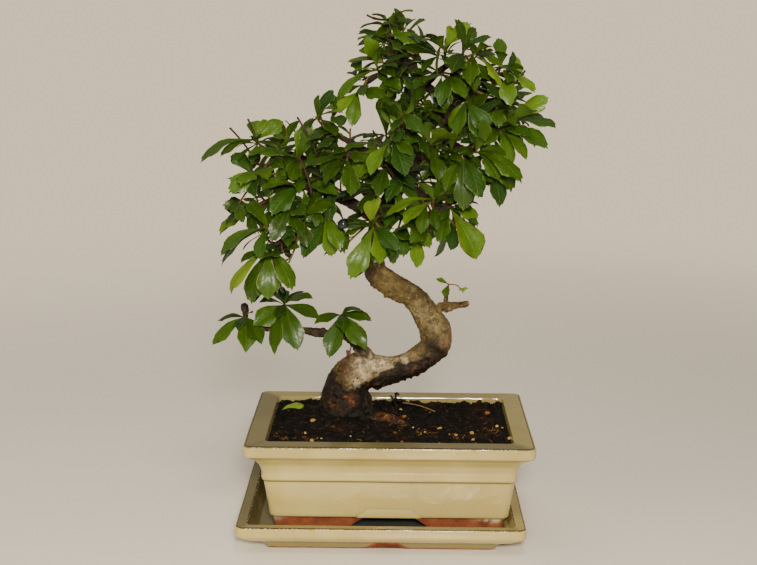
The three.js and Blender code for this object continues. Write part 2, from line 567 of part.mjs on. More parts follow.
function spreadBlade(line, shoot, rank, tries) {
  const first = leastAxis(line.direction);
  first.addScaledVector(line.direction, -first.dot(line.direction)).normalize();
  const second = line.direction.clone().cross(first);
  const turn = GOLDEN_TURN * (rank + 3 * tries) + 6.2832 * draw(shoot, 0, 60);
  const tilt = 0.7 + 0.8 * draw(shoot, rank, 61 + tries);
  const length = 27 + 15 * draw(shoot, rank, 80);
  const radial = first.multiplyScalar(Math.cos(turn)).addScaledVector(second, Math.sin(turn));
  const along = line.direction.clone().multiplyScalar(Math.cos(tilt))
    .addScaledVector(radial, Math.sin(tilt));
  along.z -= 0.25;
  along.normalize();
  const root = rootPlace(line, rank);
  const tip = root.clone().addScaledVector(along, length);
  const facing = line.direction.clone().multiplyScalar(0.6);
  facing.z += 1;
  const slimness = 0.4 + 0.12 * draw(shoot, rank, 81);
  return blade(root, tip, facing, slimness, 0.05 + 0.08 * draw(shoot, rank, 82));
}

// The leaves' roots sit one below the other on the stem's line.
function rootPlace(line, rank) {
  const back = Math.max(Math.min(LEAF_STEP * (rank + 0.5), line.length - 3.5), 0.5);
  return line.tip.clone().addScaledVector(line.direction, -back);
}

const SPREAD_TRIES = 8;
const BEADS_A_SPAN = 12;

// Finds a clear blade for every leaf of every shoot: first the leaves placed one by one, then the
// others. A leaf with no clear place is left out.
function growLeaves(lines) {
  const limbBeads = Object.values(LIMBS).flatMap((route) => (
    beads(route, BEADS_A_SPAN * (route.length - 1))
  ));
  const wood = limbBeads.map((bead) => ({ ...bead, owner: "limbs" }));
  lines.forEach((line, shoot) => {
    wood.push(...stemBeads(line.start, line.tip).map((bead) => ({ ...bead, owner: shoot })));
    if (line.onSide) {
      wood.push(...stemBeads(line.root, line.stubEnd).map((bead) => ({ ...bead, owner: "limbs" })));
    }
  });
  const blades = [];
  const settle = (line, shoot, rank, make, tryCount) => {
    for (let tries = 0; tries < tryCount; tries++) {
      const leaf = make(line, shoot, rank, tries);
      if (isClear(leaf, shoot, wood, blades)) {
        blades.push({ ...leaf, owner: shoot });
        return;
      }
    }
  };
  lines.forEach((line, shoot) => SHOOTS[shoot][3].forEach((_, rank) => (
    settle(line, shoot, rank, placedBlade, DEPTH_TRIES.length)
  )));
  lines.forEach((line, shoot) => {
    const placedCount = SHOOTS[shoot][3].length;
    for (let extra = 0; extra < SHOOTS[shoot][4]; extra++) {
      settle(line, shoot, placedCount + extra, spreadBlade, SPREAD_TRIES);
    }
  });
  return blades;
}

// A blade's solid: its face twice, half a thickness to each side, joined by its rim.
function bladeSolid({ places, normal }) {
  const half = BLADE_THICK / 2;
  const upper = places.map((place) => place.clone().addScaledVector(normal, half));
  const lower = places.map((place) => place.clone().addScaledVector(normal, -half));
  const count = places.length;
  const index = [];
  for (const [a, b, c] of LEAF_FACES) {
    index.push(a, b, c, count + a, count + c, count + b);
  }
  LEAF_RIM.forEach((a, k) => {
    const b = LEAF_RIM[(k + 1) % LEAF_RIM.length];
    index.push(a, count + a, count + b, a, count + b, b);
  });
  const geometry = new THREE.BufferGeometry();
  geometry.setFromPoints([...upper, ...lower]);
  geometry.setIndex(index);
  return solidOf(geometry);
}

function makeTrunk(lines) {
  const solids = Object.entries(LIMBS).map(([name, route]) => {
    if (name === "trunk") return solidOf(limb(route, ...TRUNK_SHAPE));
    if (name === "surface_root") return solidOf(limb(route, ...ROOT_SHAPE));
    const spans = route.length - 1;
    const isThick = route[0][3] > THICK_LIMB;
    return solidOf(limb(route, LIMB_SIDES, isThick ? 2 * spans : spans, LIMB_KNOTS));
  });
  for (const line of lines) {
    if (line.onSide) solids.push(stemSolid(line.root, line.stubEnd, STUB_RADIUS, STUB_RADIUS));
  }
  addMesh("trunk", geometryOf(joined(solids)), BARK);
}

function makeShoots(lines) {
  const blades = growLeaves(lines);
  lines.forEach((line, shoot) => {
    const stem = stemSolid(line.start, line.tip, STEM_RADIUS, 0.8 * STEM_RADIUS);
    const leaves = blades.filter((leaf) => leaf.owner === shoot).map(bladeSolid);
    const name = `leafy_shoot_${String(shoot + 1).padStart(2, "0")}`;
    addMesh(name, geometryOf(joined([stem, ...leaves])), FOLIAGE);
  });
}

// A leaf and a thin twig lie on the soil.
function makeFallen() {
  const lift = -0.05;
  const onSoil = (x, y, rise) => new THREE.Vector3(x, y, soilHeight(x, y) + rise);
  const facing = new THREE.Vector3(0, -0.3, 1);
  const leaf = blade(onSoil(-94, 35, lift + 0.5), onSoil(-74, 55, lift + 0.8), facing, 0.5, 0.04);
  addMesh("fallen_leaf", geometryOf(bladeSolid(leaf)), FALLEN_GREEN);
  const twigRadii = [0.8, 0.6];
  const twig = stemSolid(onSoil(17, 62, 1.5), onSoil(49, 38, 1.7), ...twigRadii);
  addMesh("fallen_twig", geometryOf(twig), DRY_TWIG);
}

const stemLines = SHOOTS.map(stemLine);
makeSaucer();
makePot();
makeDrainMeshes();
makeSoil([
  solidOf(limb(LIMBS.trunk, ...TRUNK_SHAPE, GAP + 0.1)),
  solidOf(limb(LIMBS.surface_root, ...ROOT_SHAPE, GAP + 0.1)),
]);
makeTrunk(stemLines);
makeShoots(stemLines);
makeFallen();

export default part;
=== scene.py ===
# %% [markdown]
# # A fukien tea bonsai in a glazed pot
#
# This lesson dresses a bonsai whose solids are already made: a saucer, a pot with two squares of mesh
# over its drainage holes, soil, a trunk, 51 leafy shoots, a fallen leaf and a fallen twig. The solids
# fix every size and place. Here each one gets the skin of the real thing: wavy glaze, crumbs of soil,
# bark, and thin leaves with teeth and veins. All shapes are worked out in millimetres with numpy and
# become metres when they go into a mesh.

import bpy
import numpy as np
from mathutils import Matrix, Vector


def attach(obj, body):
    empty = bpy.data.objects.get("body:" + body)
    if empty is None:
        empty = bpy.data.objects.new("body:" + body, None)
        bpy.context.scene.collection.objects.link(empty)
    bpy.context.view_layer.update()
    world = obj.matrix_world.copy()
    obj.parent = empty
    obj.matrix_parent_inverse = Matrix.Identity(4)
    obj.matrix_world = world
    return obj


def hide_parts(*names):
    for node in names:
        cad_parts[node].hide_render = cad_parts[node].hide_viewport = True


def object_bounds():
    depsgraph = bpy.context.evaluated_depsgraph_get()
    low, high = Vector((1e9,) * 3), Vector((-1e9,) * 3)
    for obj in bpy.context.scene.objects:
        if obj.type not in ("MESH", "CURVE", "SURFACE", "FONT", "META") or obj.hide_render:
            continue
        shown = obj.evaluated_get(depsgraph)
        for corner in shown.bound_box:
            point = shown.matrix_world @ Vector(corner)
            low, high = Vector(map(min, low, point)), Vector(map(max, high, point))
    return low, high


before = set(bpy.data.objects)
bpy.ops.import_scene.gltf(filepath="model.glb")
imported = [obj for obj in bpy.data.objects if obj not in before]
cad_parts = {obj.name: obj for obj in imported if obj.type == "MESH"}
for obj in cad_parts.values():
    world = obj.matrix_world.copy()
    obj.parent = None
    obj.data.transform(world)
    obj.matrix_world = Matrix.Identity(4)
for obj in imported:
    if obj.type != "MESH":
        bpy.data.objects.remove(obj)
CAD_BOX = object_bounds()
MM = 0.001
print("solids to dress:", len(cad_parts))

# %% [markdown]
# ## Draws and noise
#
# Bark, soil and glaze need disorder that is the same in every run. A draw mixes three whole numbers
# into a value from 0 to 1. Noise is a draw at each corner of a cubic lattice, blended in between, so
# it can be asked for at any place in space, and two pieces that meet agree on it.

# %% Draws and noise
LOW_BITS = 0xFFFFFFFF


def draw(a, b, c):
    """From 0 to 1, from three whole numbers: each times a large odd number, mixed by folding bits."""
    a, b, c = (np.asarray(number, np.int64) + 1 for number in (a, b, c))
    h = (a * 374761393 ^ b * 668265263 ^ c * 362437) & LOW_BITS
    h = ((h ^ (h >> 13)) * 1274126177) & LOW_BITS
    h = ((h ^ (h >> 15)) * 1103515245) & LOW_BITS
    return (h ^ (h >> 16)) / 4294967296


def noise(places, size, seed=0):
    """Smooth noise from -1 to 1 whose lumps are about size across: the draws at the eight corners of
    each lattice cell, weighted by soft steps along the three axes."""
    scaled = np.asarray(places, float) / size + 31.7 * seed
    cell = np.floor(scaled).astype(np.int64)
    part = scaled - cell
    part = part * part * (3 - 2 * part)
    total = 0
    for corner in np.ndindex(2, 2, 2):
        weight = np.prod(np.where(corner, part, 1 - part), axis=-1)
        total = total + weight * draw(*np.moveaxis(cell + corner, -1, 0))
    return 2 * total - 1


def soft_step(low, high, value):
    """0 under low, 1 over high, and a smooth rise between."""
    share = np.clip((value - low) / (high - low), 0, 1)
    return share * share * (3 - 2 * share)


def bell(distance, reach):
    """1 at no distance, a third at the reach, and next to nothing at twice the reach."""
    return np.exp(-((distance / reach) ** 2))


def lengths(vectors):
    """The length of each vector."""
    return np.linalg.norm(vectors, axis=-1)


def unit(vectors):
    """Vectors made one long."""
    return vectors / lengths(vectors)[..., None]


def full_turn(count):
    """The angles of a full turn, in equal steps."""
    return np.arange(count) / count * 2 * np.pi


print("noise at two places:", noise([[0.0, 0, 0], [40, 3, 9]], 7.0).round(3))

# %% [markdown]
# ## From points to a piece
#
# Every shape is a grid of points, whose faces join each point to its neighbours in the next row and
# column. Where the last column joins the first it is a tube, and a pole at each end closes it. A piece
# has its place in its mesh, rides on the body "root" and hides the solids that it stands for.

# %% From points to a piece


def grid_faces(rows, columns, closed=False):
    """Four-cornered faces of a grid, facing out where columns turn anticlockwise as rows rise."""
    row = np.arange(rows - 1)[:, None] * columns
    column = np.arange(columns if closed else columns - 1)[None, :]
    following = (column + 1) % columns
    corners = [row + column, row + following, row + columns + following, row + columns + column]
    return np.stack(corners, axis=-1).reshape(-1, 4)


def closed_tube(rings, **more):
    """The shape of rings (rows, sides, 3) with a pole in the middle of each end, and more it keeps."""
    rows, sides = rings.shape[:2]
    points = np.vstack([rings.reshape(-1, 3), rings[0].mean(0), rings[-1].mean(0)])
    side = np.arange(sides)
    following = (side + 1) % sides
    low, high = np.full(sides, rows * sides), np.full(sides, rows * sides + 1)
    last = (rows - 1) * sides
    bottom = np.stack([low, following, side], axis=-1)
    top = np.stack([high, last + side, last + following], axis=-1)
    return {"points": points, "faces": [grid_faces(rows, sides, True), bottom, top], **more}


def ball(leans, turns):
    """Rings of a ball of radius 1, from its foot up: (leans, turns, 3)."""
    lean = leans[:, None]
    return np.stack(np.broadcast_arrays(np.sin(lean) * np.cos(turns), np.sin(lean) * np.sin(turns),
                                        -np.cos(lean)), axis=-1)


def rings_about(middle, radius, first, second, sides):
    """Rings (rows, sides, 3): each middle plus its radius times a way that turns between two ways."""
    turn = full_turn(sides)[:, None]
    out = first[..., None, :] * np.cos(turn) + second[..., None, :] * np.sin(turn)
    return middle[:, None] + np.atleast_2d(radius)[..., None] * out


def make_mesh(name, shapes, *finishes):
    """One mesh of several shapes. A shape has points in millimetres and faces, a list of arrays of
    corner numbers. It may have uv, with two numbers for each of those, layers of numbers kept at its
    points, and the number of its finish."""
    mesh = bpy.data.meshes.new(name)
    counts = [len(shape["points"]) for shape in shapes]
    starts = np.cumsum([0] + counts)
    groups = [group + start for shape, start in zip(shapes, starts) for group in shape["faces"]]
    sizes = np.concatenate([np.full(len(group), group.shape[1]) for group in groups])
    corners = np.concatenate([group.ravel() for group in groups])
    mesh.vertices.add(starts[-1])
    mesh.vertices.foreach_set("co", np.concatenate([shape["points"] for shape in shapes]).ravel() * MM)
    mesh.loops.add(len(corners))
    mesh.loops.foreach_set("vertex_index", corners)
    mesh.polygons.add(len(sizes))
    mesh.polygons.foreach_set("loop_start", np.cumsum(sizes) - sizes)
    finish = [np.full(len(group), shape.get("finish", 0)) for shape in shapes for group in shape["faces"]]
    mesh.polygons.foreach_set("material_index", np.concatenate(finish))
    mesh.update(calc_edges=True)
    for layer in sorted({layer for shape in shapes for layer in shape.get("layers", ())}):
        numbers = [np.broadcast_to(shape.get("layers", {}).get(layer, 0.0), count)
                   for shape, count in zip(shapes, counts)]
        attribute = mesh.attributes.new(layer, "FLOAT", "POINT")
        attribute.data.foreach_set("value", np.concatenate(numbers))
    if any("uv" in shape for shape in shapes):
        maps = [np.concatenate([part.reshape(-1, 2) for part in shape["uv"]]) if "uv" in shape
                else np.zeros((sum(group.size for group in shape["faces"]), 2)) for shape in shapes]
        mesh.uv_layers.new(name="surface").data.foreach_set("uv", np.concatenate(maps).ravel())
    mesh.shade_smooth()
    for material in finishes:
        mesh.materials.append(material)
    return mesh


def new_object(name, data):
    """A mesh, a light or a camera as an object in the scene."""
    made = bpy.data.objects.new(name, data)
    bpy.context.scene.collection.objects.link(made)
    return made


def add_piece(mesh, slot, *nodes):
    """Puts a mesh into the scene on the root body, in place of the solids named."""
    piece = new_object(mesh.name, mesh)
    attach(piece, "root")
    if nodes:
        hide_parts(*nodes)
    return piece


def measure(piece):
    """One line on a piece: its size in millimetres and its number of faces."""
    size = [round(length / MM, 1) for length in piece.dimensions]
    return f"{piece.name}: {size} mm, {len(piece.data.polygons)} faces"


# %% [markdown]
# ## Finishes from nodes
#
# A finish is a shader fed by patterns. The class below adds one node at a time and hands on its
# output, so a recipe reads from pattern to colour. Patterns take their places from the object's own
# coordinates or from numbers kept at the mesh's points, so they stay put on the piece.

# %% Finishes from nodes


def tint(code):
    """A colour written as six hex digits, made linear: each channel is lifted to the power 2.4."""
    channels = np.array([int(code[k:k + 2], 16) / 255 for k in (0, 2, 4)])
    linear = np.where(channels <= 0.04045, channels / 12.92, ((channels + 0.055) / 1.055) ** 2.4)
    return (*linear, 1.0)


class Finish:
    """A material under construction: one Principled shader and the nodes that feed it."""

    def __init__(self, name, gloss=0.5, roughness=0.5):
        self.material = bpy.data.materials.new(name)
        self.material.use_nodes = True
        self.tree = self.material.node_tree
        self.shader = self.tree.nodes["Principled BSDF"]
        self.shader.inputs["Specular IOR Level"].default_value = gloss
        self.shader.inputs["Roughness"].default_value = roughness
        self.place = self.node("TexCoord").outputs["Object"]

    def node(self, kind, inputs=(), **settings):
        """Adds a shader node. Inputs are (socket, value or another node's output)."""
        node = self.tree.nodes.new("ShaderNode" + kind)
        for setting, value in settings.items():
            setattr(node, setting, value)
        for socket, value in inputs:
            self.feed(node.inputs[socket], value)
        return node

    def feed(self, socket, value):
        """Links an output to a socket, or sets the socket's value. Text is a colour's code."""
        if isinstance(value, bpy.types.NodeSocket):
            self.tree.links.new(value, socket)
        else:
            socket.default_value = tint(value) if isinstance(value, str) else value

    def clouds(self, per_metre, detail=3, rough=0.55):
        """Noise from 0 to 1 with so many lumps to the metre."""
        inputs = [("Vector", self.place), ("Scale", per_metre), ("Detail", detail), ("Roughness", rough)]
        return self.node("TexNoise", inputs).outputs["Fac"]

    def cells(self, per_metre):
        """Distance to the nearest of scattered seeds."""
        inputs = [("Vector", self.place), ("Scale", per_metre)]
        return self.node("TexVoronoi", inputs).outputs["Distance"]

    def layer(self, name):
        """A number kept at the mesh's points."""
        return self.node("Attribute", attribute_name=name).outputs["Fac"]

    def math(self, operation, *numbers):
        """One sum on numbers."""
        return self.node("Math", enumerate(numbers), operation=operation).outputs[0]

    def times(self, product, *others):
        """Numbers multiplied."""
        for other in others:
            product = self.math("MULTIPLY", product, other)
        return product

    def plus(self, total, *others):
        """Numbers added."""
        for other in others:
            total = self.math("ADD", total, other)
        return total

    def centred(self, pattern, width):
        """A pattern from 0 to 1 made as wide as asked, with its middle at 0."""
        return self.times(self.math("SUBTRACT", pattern, 0.5), width)

    def ramp(self, value, *stops):
        """A colour for a number, from stops of (number, colour code)."""
        node = self.node("ValToRGB", [("Fac", value)])
        elements = node.color_ramp.elements
        while len(elements) < len(stops):
            elements.new(0.5)
        for element, (position, code) in zip(elements, stops):
            element.position = position
            element.color = tint(code)
        return node.outputs["Color"]

    def rise(self, value, low, high):
        """0 under low and 1 over high. With low over high it falls instead."""
        inputs = [("Value", value), ("From Min", low), ("From Max", high)]
        return self.node("MapRange", inputs, interpolation_type="SMOOTHSTEP").outputs["Result"]

    def blend(self, share, first, second):
        """Two colours mixed by a share."""
        return self.node("Mix", [(0, share), (6, first), (7, second)], data_type="RGBA").outputs[2]

    def coated(self, color, *coats):
        """Coats laid one by one over a colour. Each has its own colour, and shares that are multiplied."""
        for coat, *shares in coats:
            color = self.blend(self.times(*shares), color, coat)
        return color

    def between(self, share, first, second):
        """Two numbers mixed by a share."""
        return self.node("Mix", [(0, share), (2, first), (3, second)], data_type="FLOAT").outputs[0]

    def relief(self, height, depth):
        """Bumps of a height pattern, so many metres deep, on the shader's normal."""
        bump = self.node("Bump", [("Height", height), ("Distance", depth), ("Strength", 1.0)])
        self.feed(self.shader.inputs["Normal"], bump.outputs["Normal"])

    def surface(self, output):
        """Puts another shader's output in the place of the Principled one."""
        self.feed(self.tree.nodes["Material Output"].inputs["Surface"], output)
        return self.material

    def done(self, color, roughness=None):
        """Feeds the shader's colour, and its roughness where it varies, and gives the material."""
        self.feed(self.shader.inputs["Base Color"], color)
        if roughness is not None:
            self.feed(self.shader.inputs["Roughness"], roughness)
        return self.material


print("cream of the glaze, linear:", np.round(tint("bdab69"), 3))

# %% [markdown]
# ## Camera, floor and light
#
# The picture is taken from in front of the tree, a good metre away and a little above it, looking
# down by 12 degrees. A warm soft box close to the camera lights what faces it, and weaker ones stand
# at the left, above and behind. Far out the pale floor turns clear, so that it ends without a line in
# the backdrop, a large pale ball that only the camera sees and that sends no light to the tree.

# %% Camera
FOCAL_PIXELS = 1349.7
PICTURE_WIDTH = 757
CAMERA_PLACE = Vector((0.007, -1.168, 0.4653))
CAMERA_PITCH, CAMERA_YAW, CAMERA_ROLL = np.radians([11.863, 0.55, 0.435])

ahead = Vector((-np.sin(CAMERA_YAW) * np.cos(CAMERA_PITCH), np.cos(CAMERA_YAW) * np.cos(CAMERA_PITCH),
                -np.sin(CAMERA_PITCH)))
level = Vector((np.cos(CAMERA_YAW), np.sin(CAMERA_YAW), 0))
camera_right = Matrix.Rotation(-CAMERA_ROLL, 3, ahead) @ level
camera_up = camera_right.cross(ahead)
camera_data = bpy.data.cameras.new("camera")
camera_data.sensor_width = 36
camera_data.lens = FOCAL_PIXELS * camera_data.sensor_width / PICTURE_WIDTH
camera = new_object("camera", camera_data)
turn = Matrix((camera_right, camera_up, -ahead)).transposed()
camera.matrix_world = Matrix.Translation(CAMERA_PLACE) @ turn.to_4x4()
bpy.context.scene.camera = camera
print("lens in millimetres:", round(camera_data.lens, 2))

# %% Floor and light
FLOOR_HALF = 4000.0
FLOOR_FADE = (0.4, 1.7)
BACKDROP_RADIUS = 30000.0
BACKDROP_ROWS, BACKDROP_SIDES = 24, 48


def add_stage(name, shape, material):
    """A piece of the surroundings, which isn't part of the object."""
    piece = new_object(name, make_mesh(name, [shape], material))
    return piece


def make_floor_finish():
    """Pale and a little glossy, clear far out: a share of a clear shader rises with the distance."""
    finish = Finish("pale_floor", roughness=0.24)
    finish.done(finish.ramp(finish.clouds(1.5), (0.3, "f3ece0"), (0.7, "f5efe5")))
    distance = finish.node("VectorMath", [(0, finish.place)], operation="LENGTH")
    far_out = finish.rise(distance.outputs["Value"], *FLOOR_FADE)
    clear = finish.node("BsdfTransparent").outputs[0]
    shaders = [(0, far_out), (1, finish.shader.outputs["BSDF"]), (2, clear)]
    return finish.surface(finish.node("MixShader", shaders).outputs[0])


def make_backdrop_finish():
    """An even pale glow."""
    finish = Finish("pale_backdrop")
    glow = finish.node("Emission", [("Color", "e6d3b6"), ("Strength", 1.25)])
    return finish.surface(glow.outputs[0])


floor_points = np.array([[-1, -1, 0], [1, -1, 0], [1, 1, 0], [-1, 1, 0]]) * FLOOR_HALF
add_stage("floor", {"points": floor_points, "faces": [np.array([[0, 1, 2, 3]])]}, make_floor_finish())
rings = ball(np.linspace(0.05, np.pi - 0.05, BACKDROP_ROWS), full_turn(BACKDROP_SIDES))
backdrop = add_stage("backdrop", closed_tube(rings * BACKDROP_RADIUS), make_backdrop_finish())
for kind in ("diffuse", "glossy", "transmission", "shadow"):
    setattr(backdrop, f"visible_{kind}", False)


def add_light(name, place, aim, size, watts, color, shines):
    """A square soft box at a place, in metres, turned to its aim. It shows in gloss only if it shines."""
    data = bpy.data.lights.new(name, "AREA")
    data.size, data.energy, data.color = size, watts, color
    light = new_object(name, data)
    way = Vector(aim) - Vector(place)
    light.matrix_world = Matrix.Translation(place) @ way.to_track_quat("-Z", "Y").to_matrix().to_4x4()
    light.visible_glossy = shines


MIDDLE = (0, 0, 0.24)
WARM = (1.0, 0.92, 0.78)
add_light("key", (0.07, -1.35, 0.68), MIDDLE, 0.18, 28, WARM, True)
add_light("fill", (-1.3, -0.7, 0.6), MIDDLE, 0.9, 6, WARM, False)
add_light("ceiling", (0.12, -0.7, 1.55), MIDDLE, 0.22, 5, WARM, True)
add_light("rear", (-0.6, 1.4, 0.9), MIDDLE, 0.9, 9, WARM, False)
world = bpy.data.worlds.new("room")
world.use_nodes = True
background = world.node_tree.nodes["Background"].inputs
background["Color"].default_value, background["Strength"].default_value = tint("f3e6d2"), 0.33
bpy.context.scene.world = world

# %% [markdown]
# ## Saucer and pot: a profile carried round a rounded rectangle
#
# Both were pressed in a mould, dipped in glaze and fired on a bare foot. A wall like that is a profile
# from the underside up the outside, over the rim and down the inside. Each ring of the profile is a
# rounded rectangle, so the surface is ring by ring times place round the rim. Sharp corners of the
# profile are cut back three times, which rounds them as the glaze does.

# %% Profiles of saucer and pot
POT_HALF = (125, 85)
POT_MIDDLE = (7, 2)
SAUCER_FLOOR = 11
FOOT_BOTTOM = SAUCER_FLOOR + 0.3
FOOT_CEILING = 24
GLAZE_BOTTOM = 24.3
CREASE = 59
POT_TOP = 94
POT_FLOOR = 31
# Rings from the underside up the outside and down the inside. The saucer's have half lengths along
# X and Y, a height and a corner radius. The pot's have how far they lie in from its half sizes.
SAUCER_HALF = (125, 92.5)
SAUCER_RINGS = np.array([
    [97.4, 70.9, 0, 6], [99.5, 73, 0, 6], [100.5, 74, 1.2, 6.5], [103.4, 76.6, 7, 7], [108, 80, 8.2, 7.5],
    [118, 86.5, 11.6, 7.5], [123.6, 91.1, 15, 7.5], [125, 92.5, 16.6, 7.5], [125, 92.5, 23.8, 7.5],
    [124, 91.5, 25, 7], [115.8, 83.3, 25, 5], [115, 82.5, 24.2, 5], [112, 79.6, 15.5, 5],
    [107.8, 75.5, SAUCER_FLOOR, 5], [60, 28, SAUCER_FLOOR, 5],
])
POT_INSETS = np.array([
    [39, FOOT_CEILING, 4], [38, FOOT_BOTTOM, 4], [25.5, FOOT_BOTTOM, 5], [23, GLAZE_BOTTOM - 0.7, 5.5],
    [20.8, GLAZE_BOTTOM, 6], [15.9, CREASE - 0.6, 6], [14.2, CREASE + 0.6, 6.5], [14.4, 67, 6.5],
    [12.2, 74, 6.5], [7.5, 80, 6.5], [1.6, 83.2, 6.5], [0, 84.6, 7], [0, POT_TOP - 1.4, 7],
    [0.9, POT_TOP, 6.5], [17.2, POT_TOP, 5.5], [17.9, POT_TOP - 0.7, 5], [20.5, 75, 5],
    [28, POT_FLOOR, 5],
])
POT_RINGS = np.column_stack([POT_HALF[0] - POT_INSETS[:, 0], POT_HALF[1] - POT_INSETS[:, 0],
                             POT_INSETS[:, 1], POT_INSETS[:, 2]])
print("rings:", len(SAUCER_RINGS), "of the saucer,", len(POT_RINGS), "of the pot")

# %% Rounded rings


def cut_corners(rings, reach):
    """Each inner corner becomes two, a reach away along both stretches, at most 0.4 of a stretch."""
    step = np.diff(rings, axis=0)
    share = np.minimum(reach / lengths(step[:, :3]), 0.4)[:, None]
    before, after = rings[1:] - step * share, rings[:-1] + step * share
    pairs = np.stack([before[:-1], after[1:]], axis=1).reshape(-1, rings.shape[1])
    return np.vstack([rings[:1], pairs, rings[-1:]])


def refined(rings, step):
    """The same profile with rings no further apart than the step."""
    counts = np.maximum(np.ceil(lengths(np.diff(rings, axis=0)[:, :3]) / step).astype(int), 1)
    at = np.concatenate([k + np.arange(count) / count for k, count in enumerate(counts)] + [[len(counts)]])
    return np.column_stack([np.interp(at, np.arange(len(rings)), column) for column in rings.T])


CORNER_STEPS = 7


def stations(step, half):
    """Places round a rounded rectangle, anticlockwise from the right side. Each has a share of the
    straight half lengths along X and Y, from -1 to 1, and the way out of the surface."""
    found = []
    for quarter in range(4):
        angle = quarter * np.pi / 2
        out = np.array([np.cos(angle), np.sin(angle)]).round()
        along = np.array([-out[1], out[0]])
        count = int(np.ceil(2 * abs(along @ half) / step))
        run = np.linspace(-1, 1, count, endpoint=False)[:, None]
        found.append(np.hstack([out + along * run, np.tile(out, (count, 1))]))
        turns = angle + np.linspace(0, np.pi / 2, CORNER_STEPS, endpoint=False)[:, None]
        found.append(np.hstack([np.tile(out + along, (CORNER_STEPS, 1)), np.cos(turns), np.sin(turns)]))
    return np.vstack(found)


def ring_points(rings, places, middle):
    """Points (rings, places, 3): the straight half length times its share, plus the corner's radius
    times the way out, round the middle."""
    half, height, corner = rings[:, None, :2], rings[:, None, 2:3], rings[:, None, 3:4]
    flat = middle + (half - corner) * places[None, :, :2] + corner * places[None, :, 2:]
    return np.concatenate([flat, np.broadcast_to(height, flat.shape[:2] + (1,))], axis=-1)


CORNER_CUTS = (1.1, 0.45, 0.18)
SAUCER_STEP, POT_STEP, STATION_STEP = 1.8, 1.9, 2.2


def rounded(rings, step):
    """A profile with its corners cut three times, finer each time, and refined."""
    for reach in CORNER_CUTS:
        rings = cut_corners(rings, reach)
    return refined(rings, step)


saucer_rings, pot_rings = rounded(SAUCER_RINGS, SAUCER_STEP), rounded(POT_RINGS, POT_STEP)
saucer_stations, pot_stations = (stations(STATION_STEP, np.array(half)) for half in (SAUCER_HALF, POT_HALF))
print("rings and places:", len(saucer_rings), len(saucer_stations), len(pot_rings), len(pot_stations))

# %% [markdown]
# ## Cream glaze
#
# The glaze is a pale yellow cream, greener where it lies thick, in the crease and under the rim. The
# same olive is laid on as painted shade: on the tops of the rims, the inner walls, the lip and the
# saucer's underside. Along the outer top edges it ran thin in the kiln and broke to a brown line with
# white flecks, which also stand in as a painted highlight. It carries fine dark specks, and below it
# the foot is bare red clay. Under the pot the saucer's floor is grey with dirt and painted shade. How
# far a point lies from the edge and whether it is bare are kept at the points, and the shader frays
# both lines.

# %% Glaze and bare clay


def make_glaze():
    """Cream glaze with a brown break along the edges, specks, and bare clay where bare is over 0.5."""
    finish = Finish("cream_glaze", gloss=0.42)
    clouds, layer, ramp, rise = finish.clouds, finish.layer, finish.ramp, finish.rise
    cloud, crumbly = clouds(26, 4), clouds(90, 5, 0.65)
    from_edge = finish.plus(layer("edge"), finish.times(clouds(420, 3, 0.7), -1.7))
    bare = rise(finish.plus(layer("bare"), finish.centred(clouds(150), 0.5)), 0.44, 0.56)
    cream = finish.coated(
        ramp(cloud, (0.32, "b3a05f"), (0.5, "bdab69"), (0.72, "c5b574")),
        ("b3a164", rise(clouds(8, 2), 0.42, 0.7)),
        # olive of thick glaze, and painted shade on rims, inner walls, lip and underside
        ("6a6341", layer("pool")),
        ("5a4a2c", rise(finish.cells(170), 0.085, 0.05), rise(clouds(60, 1), 0.5, 0.6)),
        ("46351f", rise(from_edge, 0.7, 0.1), rise(clouds(60, 2), 0.2, 0.32)),
        # white flecks along the top edges, which are also a painted highlight
        ("cfccc0", rise(finish.cells(560), 0.36, 0.2), rise(layer("frost"), 1.5, 0.7)),
        # grey under the pot: dirt and painted shade
        ("3d4248", layer("dirt")))
    clay = finish.coated(
        ramp(crumbly, (0.3, "62301a"), (0.52, "7c4023"), (0.75, "945631")),
        ("c9bd98", layer("lime"), rise(crumbly, 0.38, 0.56)))
    waves = finish.plus(clouds(34, 2), finish.times(crumbly, bare), finish.times(clouds(210, 2), 0.12))
    finish.relief(waves, 0.001)
    roughness = finish.between(bare, finish.between(cloud, 0.06, 0.15), 0.86)
    return finish.done(finish.blend(bare, cream, clay), roughness)


GLAZE = make_glaze()
NEAR_LIMIT = 9


def near_rings(rings, *places):
    """How far each ring lies along the profile from the nearest of some places (half length, height),
    up to a limit, as a column."""
    along = np.concatenate([[0], np.cumsum(lengths(np.diff(rings, axis=0)[:, :3]))])
    spots = [along[np.argmin(np.hypot(rings[:, 0] - x, rings[:, 2] - z))] for x, z in places]
    return np.minimum(np.abs(along[:, None] - spots).min(axis=1, keepdims=True), NEAR_LIMIT)


def is_inner_half(rings):
    """True for the rings of the profile's second half, which runs down the inside."""
    return np.arange(len(rings))[:, None] > len(rings) / 2


def sway(points, waves):
    """How far a wall stands in from its mould: for each wave, its depth times noise of its size."""
    return sum(depth * (1 + noise(points, size, seed)) for depth, size, seed in waves)


# Where lime has dried on the bare foot: a place, and how wide and how high each spot is.
LIME_SPOTS = [(98, -60, 22, 11, 2.2), (-93, -60, 24, 7, 3), (60, 66, 20, 14, 4), (-104, 30, 19, 9, 4)]


def lime(points):
    """How strongly lime whitens a point: a bell round each spot, wide and low."""
    spots = [bell(np.hypot(points[:, 0] - x, points[:, 1] - y), wide) * bell(points[:, 2] - z, high)
             for x, y, z, wide, high in LIME_SPOTS]
    return np.max(spots, axis=0)


